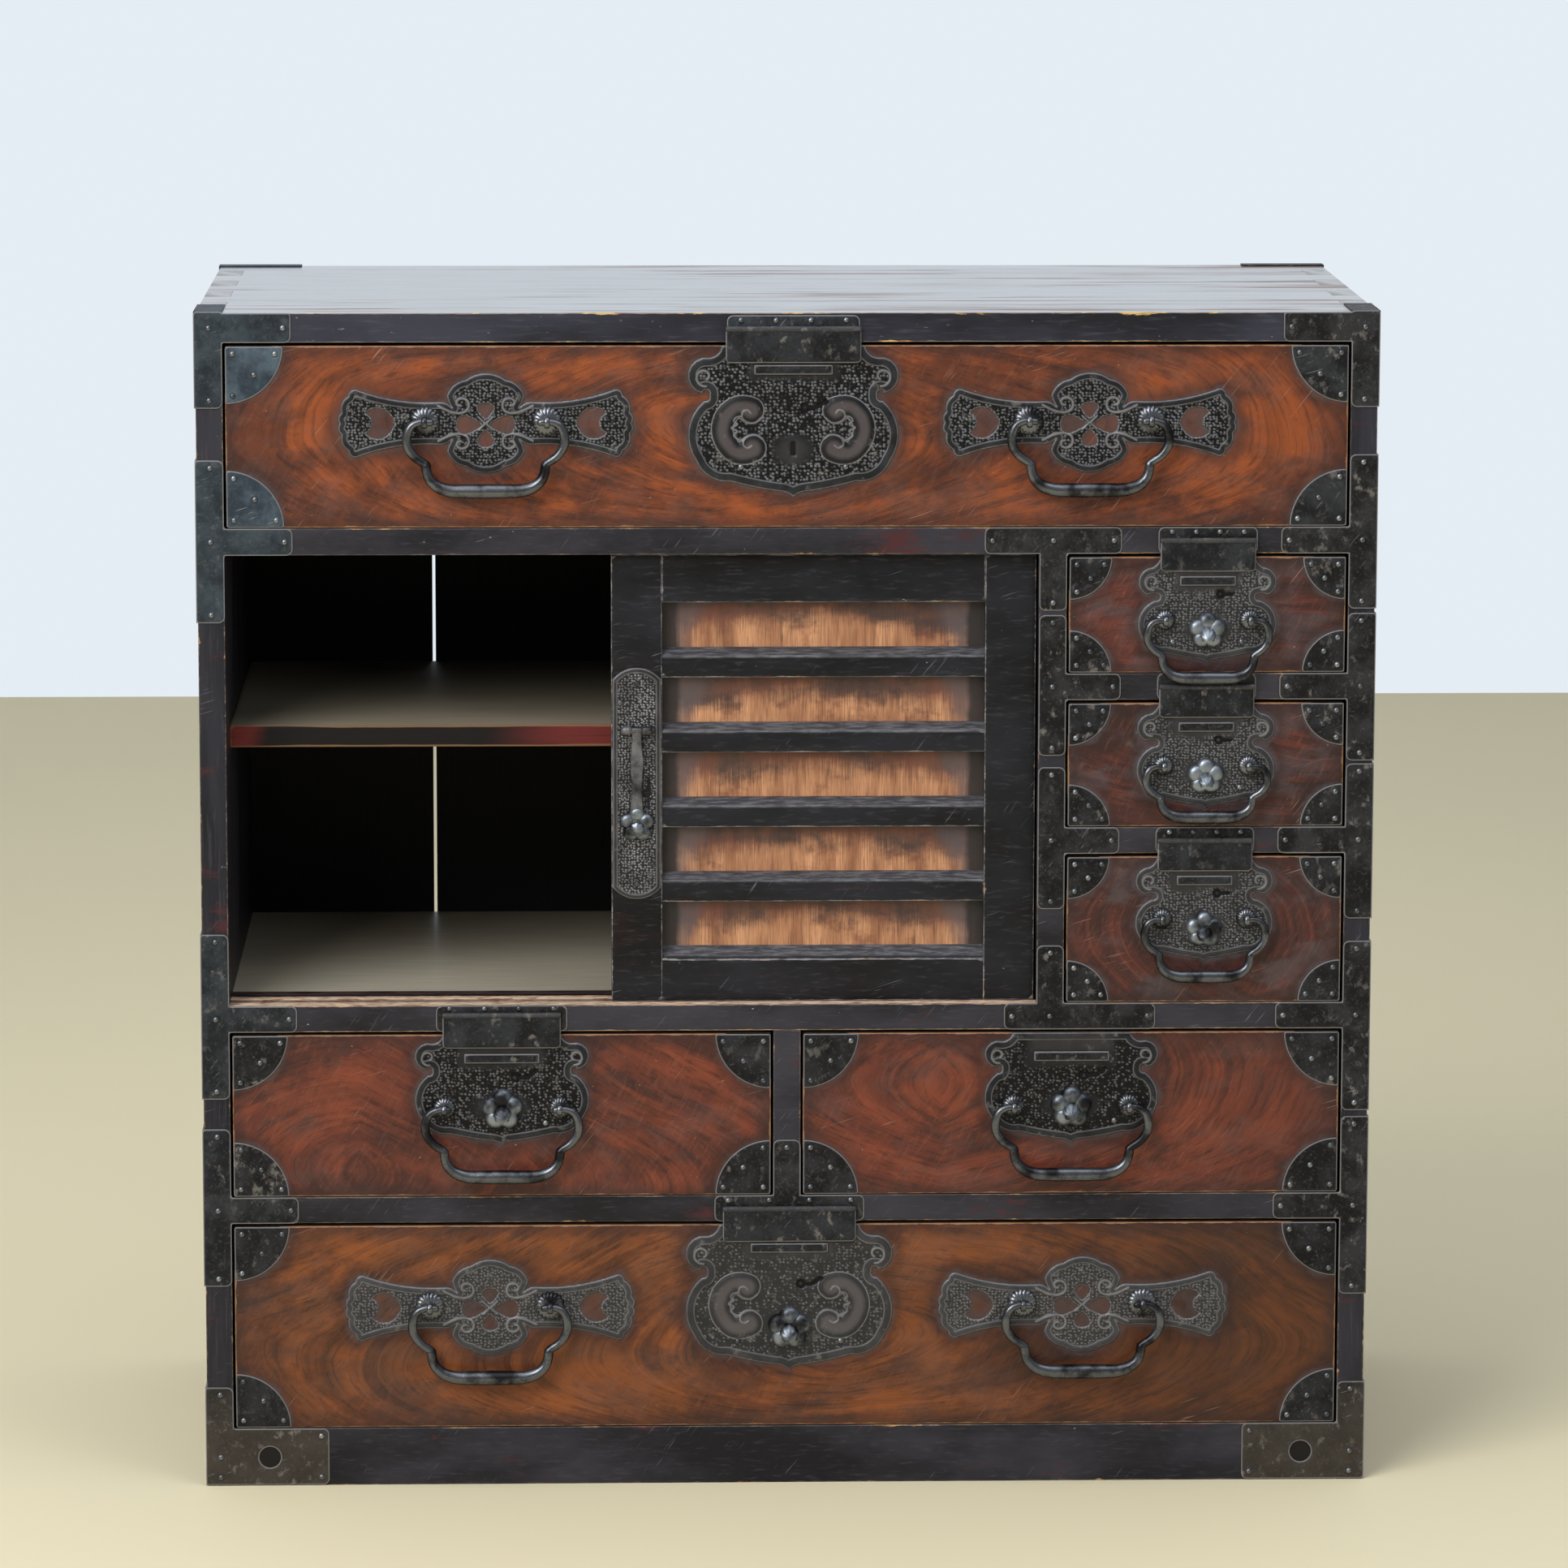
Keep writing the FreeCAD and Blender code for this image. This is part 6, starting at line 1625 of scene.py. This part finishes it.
def door_frame(y):
    """Two stiles, two rails and four slats, with the tongues that run in the tracks."""
    high_z, low_z = door_z1 - 37.0, door_z0 + 42.0
    shapes = [board((door_x0, y, door_z0), (door_in0, y + 20.0, door_z1)),
              board((door_in1, y, door_z0), (door_x1, y + 20.0, door_z1)),
              board((door_in0, y + 0.3, high_z), (door_in1, y + 20.0, door_z1)),
              board((door_x0 + 0.5, y + 4.5, 376.9), (door_x1 - 0.5, y + 15.5, 381.0), 0.4),
              board((door_x0 + 0.5, y + 4.5, 726.5), (door_x1 - 0.5, y + 15.5, 734.0), 0.4)]
    low = [(y + 0.3, door_z0), (y + 20.0, door_z0), (y + 20.0, low_z), (y + 11.0, low_z),
           (y + 0.3, low_z - 9.5)]
    shapes.append(carried(low, door_in0, door_in1))
    tall = 22.5
    pitch = (high_z - low_z + tall) / 5
    for index in range(4):
        top = low_z + pitch * (index + 1)
        slat = [(y + 1.5, top - tall), (y + 11.0, top - tall), (y + 11.0, top), (y + 1.5, top - 6.0)]
        shapes.append(carried(slat, door_in0, door_in1))
    return joined(shapes)


def door_panel(y):
    """Plank panel let into the frame behind the slats."""
    return board((door_in0 - 6, y + 11.0, door_z0 + 36.0), (door_in1 + 6, y + 16.0, door_z1 - 31.0), 0.3)


door_black = frame_lacquer("door_lacquer", seed=31.0, red=0.1, pale=1.2, dark=tone(9, 9, 12),
                           light=tone(32, 33, 40), bevelled=True, chips=0.35, line_tone=tone(146, 144, 146))
door_tan = panel_wood()
for body, y, frame_node, panel_node in (
    ("right_door", right_front, "right_door_frame", "right_door_panel"),
    ("left_door", left_front, "left_door", "left_door"),
):
    piece(f"{body}_lattice", door_frame(y), door_black, body, frame_node, "door_lacquer")
    piece(f"{body}_planks", door_panel(y), door_tan, body, panel_node, "door_panel_wood")

# Door lock plate with arched ends, its ears and its drop pull
pull_x = door_x0 + 19.5
plate_mid = (door_z0 + door_z1) / 2 - 3.5
plate_half, plate_end, plate_side = 18.5, 90.0, 81.0
pull_z = plate_mid + plate_end - 48.0
pin_radius = 2.2
pull_y = right_front - plate_thick - 1.2 - pin_radius
bottom_left, top_left, top_right, bottom_right = [
    (x * plate_half, z * plate_side) for x, z in ((-1, -1), (-1, 1), (1, 1), (1, -1))]
door_outline = np.concatenate([
    [bottom_left, top_left], arc(top_left, (0.0, plate_end), top_right, 16),
    [bottom_right], arc(bottom_right, (0.0, -plate_end), bottom_left, 16)[:-1]])
door_outer = outline_field([door_outline])
slot_x = 5.7 + 2.2
slot_z = (pull_z - 74.0 * 2 / 3) - plate_mid
door_slot = box_field(slot_x, slot_x + 2.2, slot_z - 12.5, slot_z + 12.5, 0.6)


def door_field(x, z):
    """Distance inside the door's lock plate, outside its keyhole."""
    hole = np.maximum(door_slot(x, z), 3.3 - np.hypot(x - slot_x, z - slot_z))
    return np.minimum(door_outer(x, z), -hole)


door_plate = cut_sheet(
    door_field, (-plate_half, plate_half, -plate_end, plate_end), 1.0, right_front,
    relief(3.4, outer=door_outer),
    {"band": door_outer, "curl": nowhere, "scroll": nowhere, "bare": nowhere},
)
door_plate_paint = plate_iron("door_plate_iron", 3.4, 43.0, tone(156, 157, 163), pebble_size=2.4, lift=0.10)
piece("right_door_mount", door_plate.moved(pull_x, 0, plate_mid), door_plate_paint, "right_door",
      "right_door_lock_plate", "black_iron", 50.0)
ears = []
for sign in (-1, 1):
    ear_x = pull_x + sign * 7.6
    ears.append(tube(level_path(np.linspace(ear_x - 1.4, ear_x + 1.4, 5), pull_y, pull_z), 3.4, sides=20))
    stalk = board((ear_x - 1.4, pull_y, pull_z - pin_radius),
                  (ear_x + 1.4, right_front - 1.0, pull_z + pin_radius), 0.4, 10.0)
    stalk.marks = {}
    ears.append(stalk)
door_nails = [(pull_x, plate_mid + 78.0), (pull_x, plate_mid - 78.0), (pull_x - 12.5, plate_mid + 63.0),
              (pull_x + 12.5, plate_mid - 63.0)]
ears.append(nail_heads(door_nails, right_front - plate_thick))
piece("right_door_ears", joined(ears), pull_iron, "right_door", "right_door_lock_plate", "worn_iron")


def pull_shape():
    """Flat drop that swells towards its foot and ends in a flower with a ribbed ball, hung from a pin."""
    pin = tube(level_path(np.linspace(pull_x - 8.9, pull_x + 8.9, 9), pull_y, pull_z), pin_radius)
    down = np.linspace(0, 1, 26)[:, None]
    turn = full_turn(24)[None, :]
    square = np.maximum(np.abs(np.cos(turn)), np.abs(np.sin(turn)))
    half = 3.7 + 1.5 * eased(down, 0.1, 0.35) - 1.1 * eased(down, 0.35, 0.6) + eased(down, 0.65, 0.9)
    thick = 2.0 - 0.4 * eased(down, 0.0, 0.3)
    rings = np.stack([pull_x + half * np.cos(turn) / square ** 0.6,
                      pull_y + 0.3 + thick * np.sin(turn) / square ** 0.6,
                      np.broadcast_to(pull_z - 72.0 * down, (26, 24))], -1)
    bar = skin(rings[:, ::-1])
    boss = turned([(5.2, 0.0), (5.8, 3.0), (5.0, 5.4), (3.0, 6.6), (0.6, 7.0)], 32, 0.14, 8)
    head = joined(petal_flower(7.6, 6.2) + [boss.moved(0, 0, -3.6)])
    return joined([pin, bar]), head.moved(pull_x, pull_y + 2.0, pull_z - 73.0)


drop_bar, drop_flower = pull_shape()
piece("right_door_drop", drop_bar, pull_iron, "right_door_pull", "right_door_pull", "worn_iron")
piece("right_door_drop_flower", drop_flower, knob_iron, "right_door_pull", "right_door_pull", "worn_iron")

# Floor and backdrop
wall_y = 4.0


def stage_sheet(name, corners, material):
    """One flat face of the studio."""
    mesh = bpy.data.meshes.new(name)
    mesh.from_pydata(corners, [], [tuple(range(len(corners)))])
    mesh.materials.append(material)
    placed(name, mesh)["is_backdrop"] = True


stage_sheet("studio_floor", [(-30, -30, 0), (30, -30, 0), (30, wall_y, 0), (-30, wall_y, 0)], floor_paint())
stage_sheet("studio_wall", [(-14, wall_y, 0), (14, wall_y, 0), (14, wall_y, 12), (-14, wall_y, 12)],
            wall_paint())

# Light: an even pale room, a soft key from the upper left and a weaker fill from the right
world = bpy.data.worlds.new("studio")
bpy.context.scene.world = world
world.use_nodes = True
room = world.node_tree.nodes["Background"].inputs
room["Color"].default_value = (0.86, 0.92, 1.0, 1.0)
room["Strength"].default_value = 0.30
chest_middle = (0.0, -0.2, 0.45)


def soft_lamp(name, place, aim, size, power, colour):
    """Square area lamp that faces the place it is aimed at."""
    lamp = bpy.data.lights.new(name, "AREA")
    lamp.shape = "RECTANGLE"
    lamp.size = lamp.size_y = size
    lamp.energy = power
    lamp.color = colour
    made = placed(name, lamp)
    made.location = place
    made.rotation_euler = (Vector(aim) - Vector(place)).to_track_quat("-Z", "Y").to_euler()
    return made


soft_lamp("key_lamp", (-2.4, -3.6, 3.4), chest_middle, 2.8, 195.0, (1.0, 0.985, 0.96))
fill = soft_lamp("fill_lamp", (3.4, -4.2, 1.8), chest_middle, 2.4, 60.0, (0.94, 0.97, 1.0))
fill.visible_glossy = False  # its mirror image would blow out the top where it is seen from behind
soft_lamp("overhead_lamp", (0.0, -0.9, 4.5), (0.0, -0.9, 0.0), 5.0, 120.0, (0.97, 0.985, 1.0))

# Camera at the photograph's viewpoint
yaw, pitch, roll = 0.03077, 0.158967, 0.0016668
ahead = Vector((math.sin(yaw) * math.cos(pitch), math.cos(yaw) * math.cos(pitch), -math.sin(pitch)))
right = Vector((math.cos(yaw), -math.sin(yaw), 0.0))
above = right.cross(ahead)
right, above = (math.cos(roll) * right + math.sin(roll) * above,
                math.cos(roll) * above - math.sin(roll) * right)
camera = bpy.data.cameras.new("photo_camera")
camera.sensor_width = 36.0
camera.lens = 36.0 * 8655.5 / 1932.0  # focal length in photo pixels over the photo's width
camera.clip_end = 100.0
viewer = placed("photo_camera", camera)
axes = Matrix((right, above, -ahead)).transposed().to_4x4()
viewer.matrix_world = Matrix.Translation((-0.1664, -5.5307, 1.4049)) @ axes
bpy.context.scene.camera = viewer
bpy.context.scene.view_settings.view_transform = "Standard"

low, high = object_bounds()
{"cad": [list(cad_low), list(cad_high)], "scene": [list(low), list(high)]}
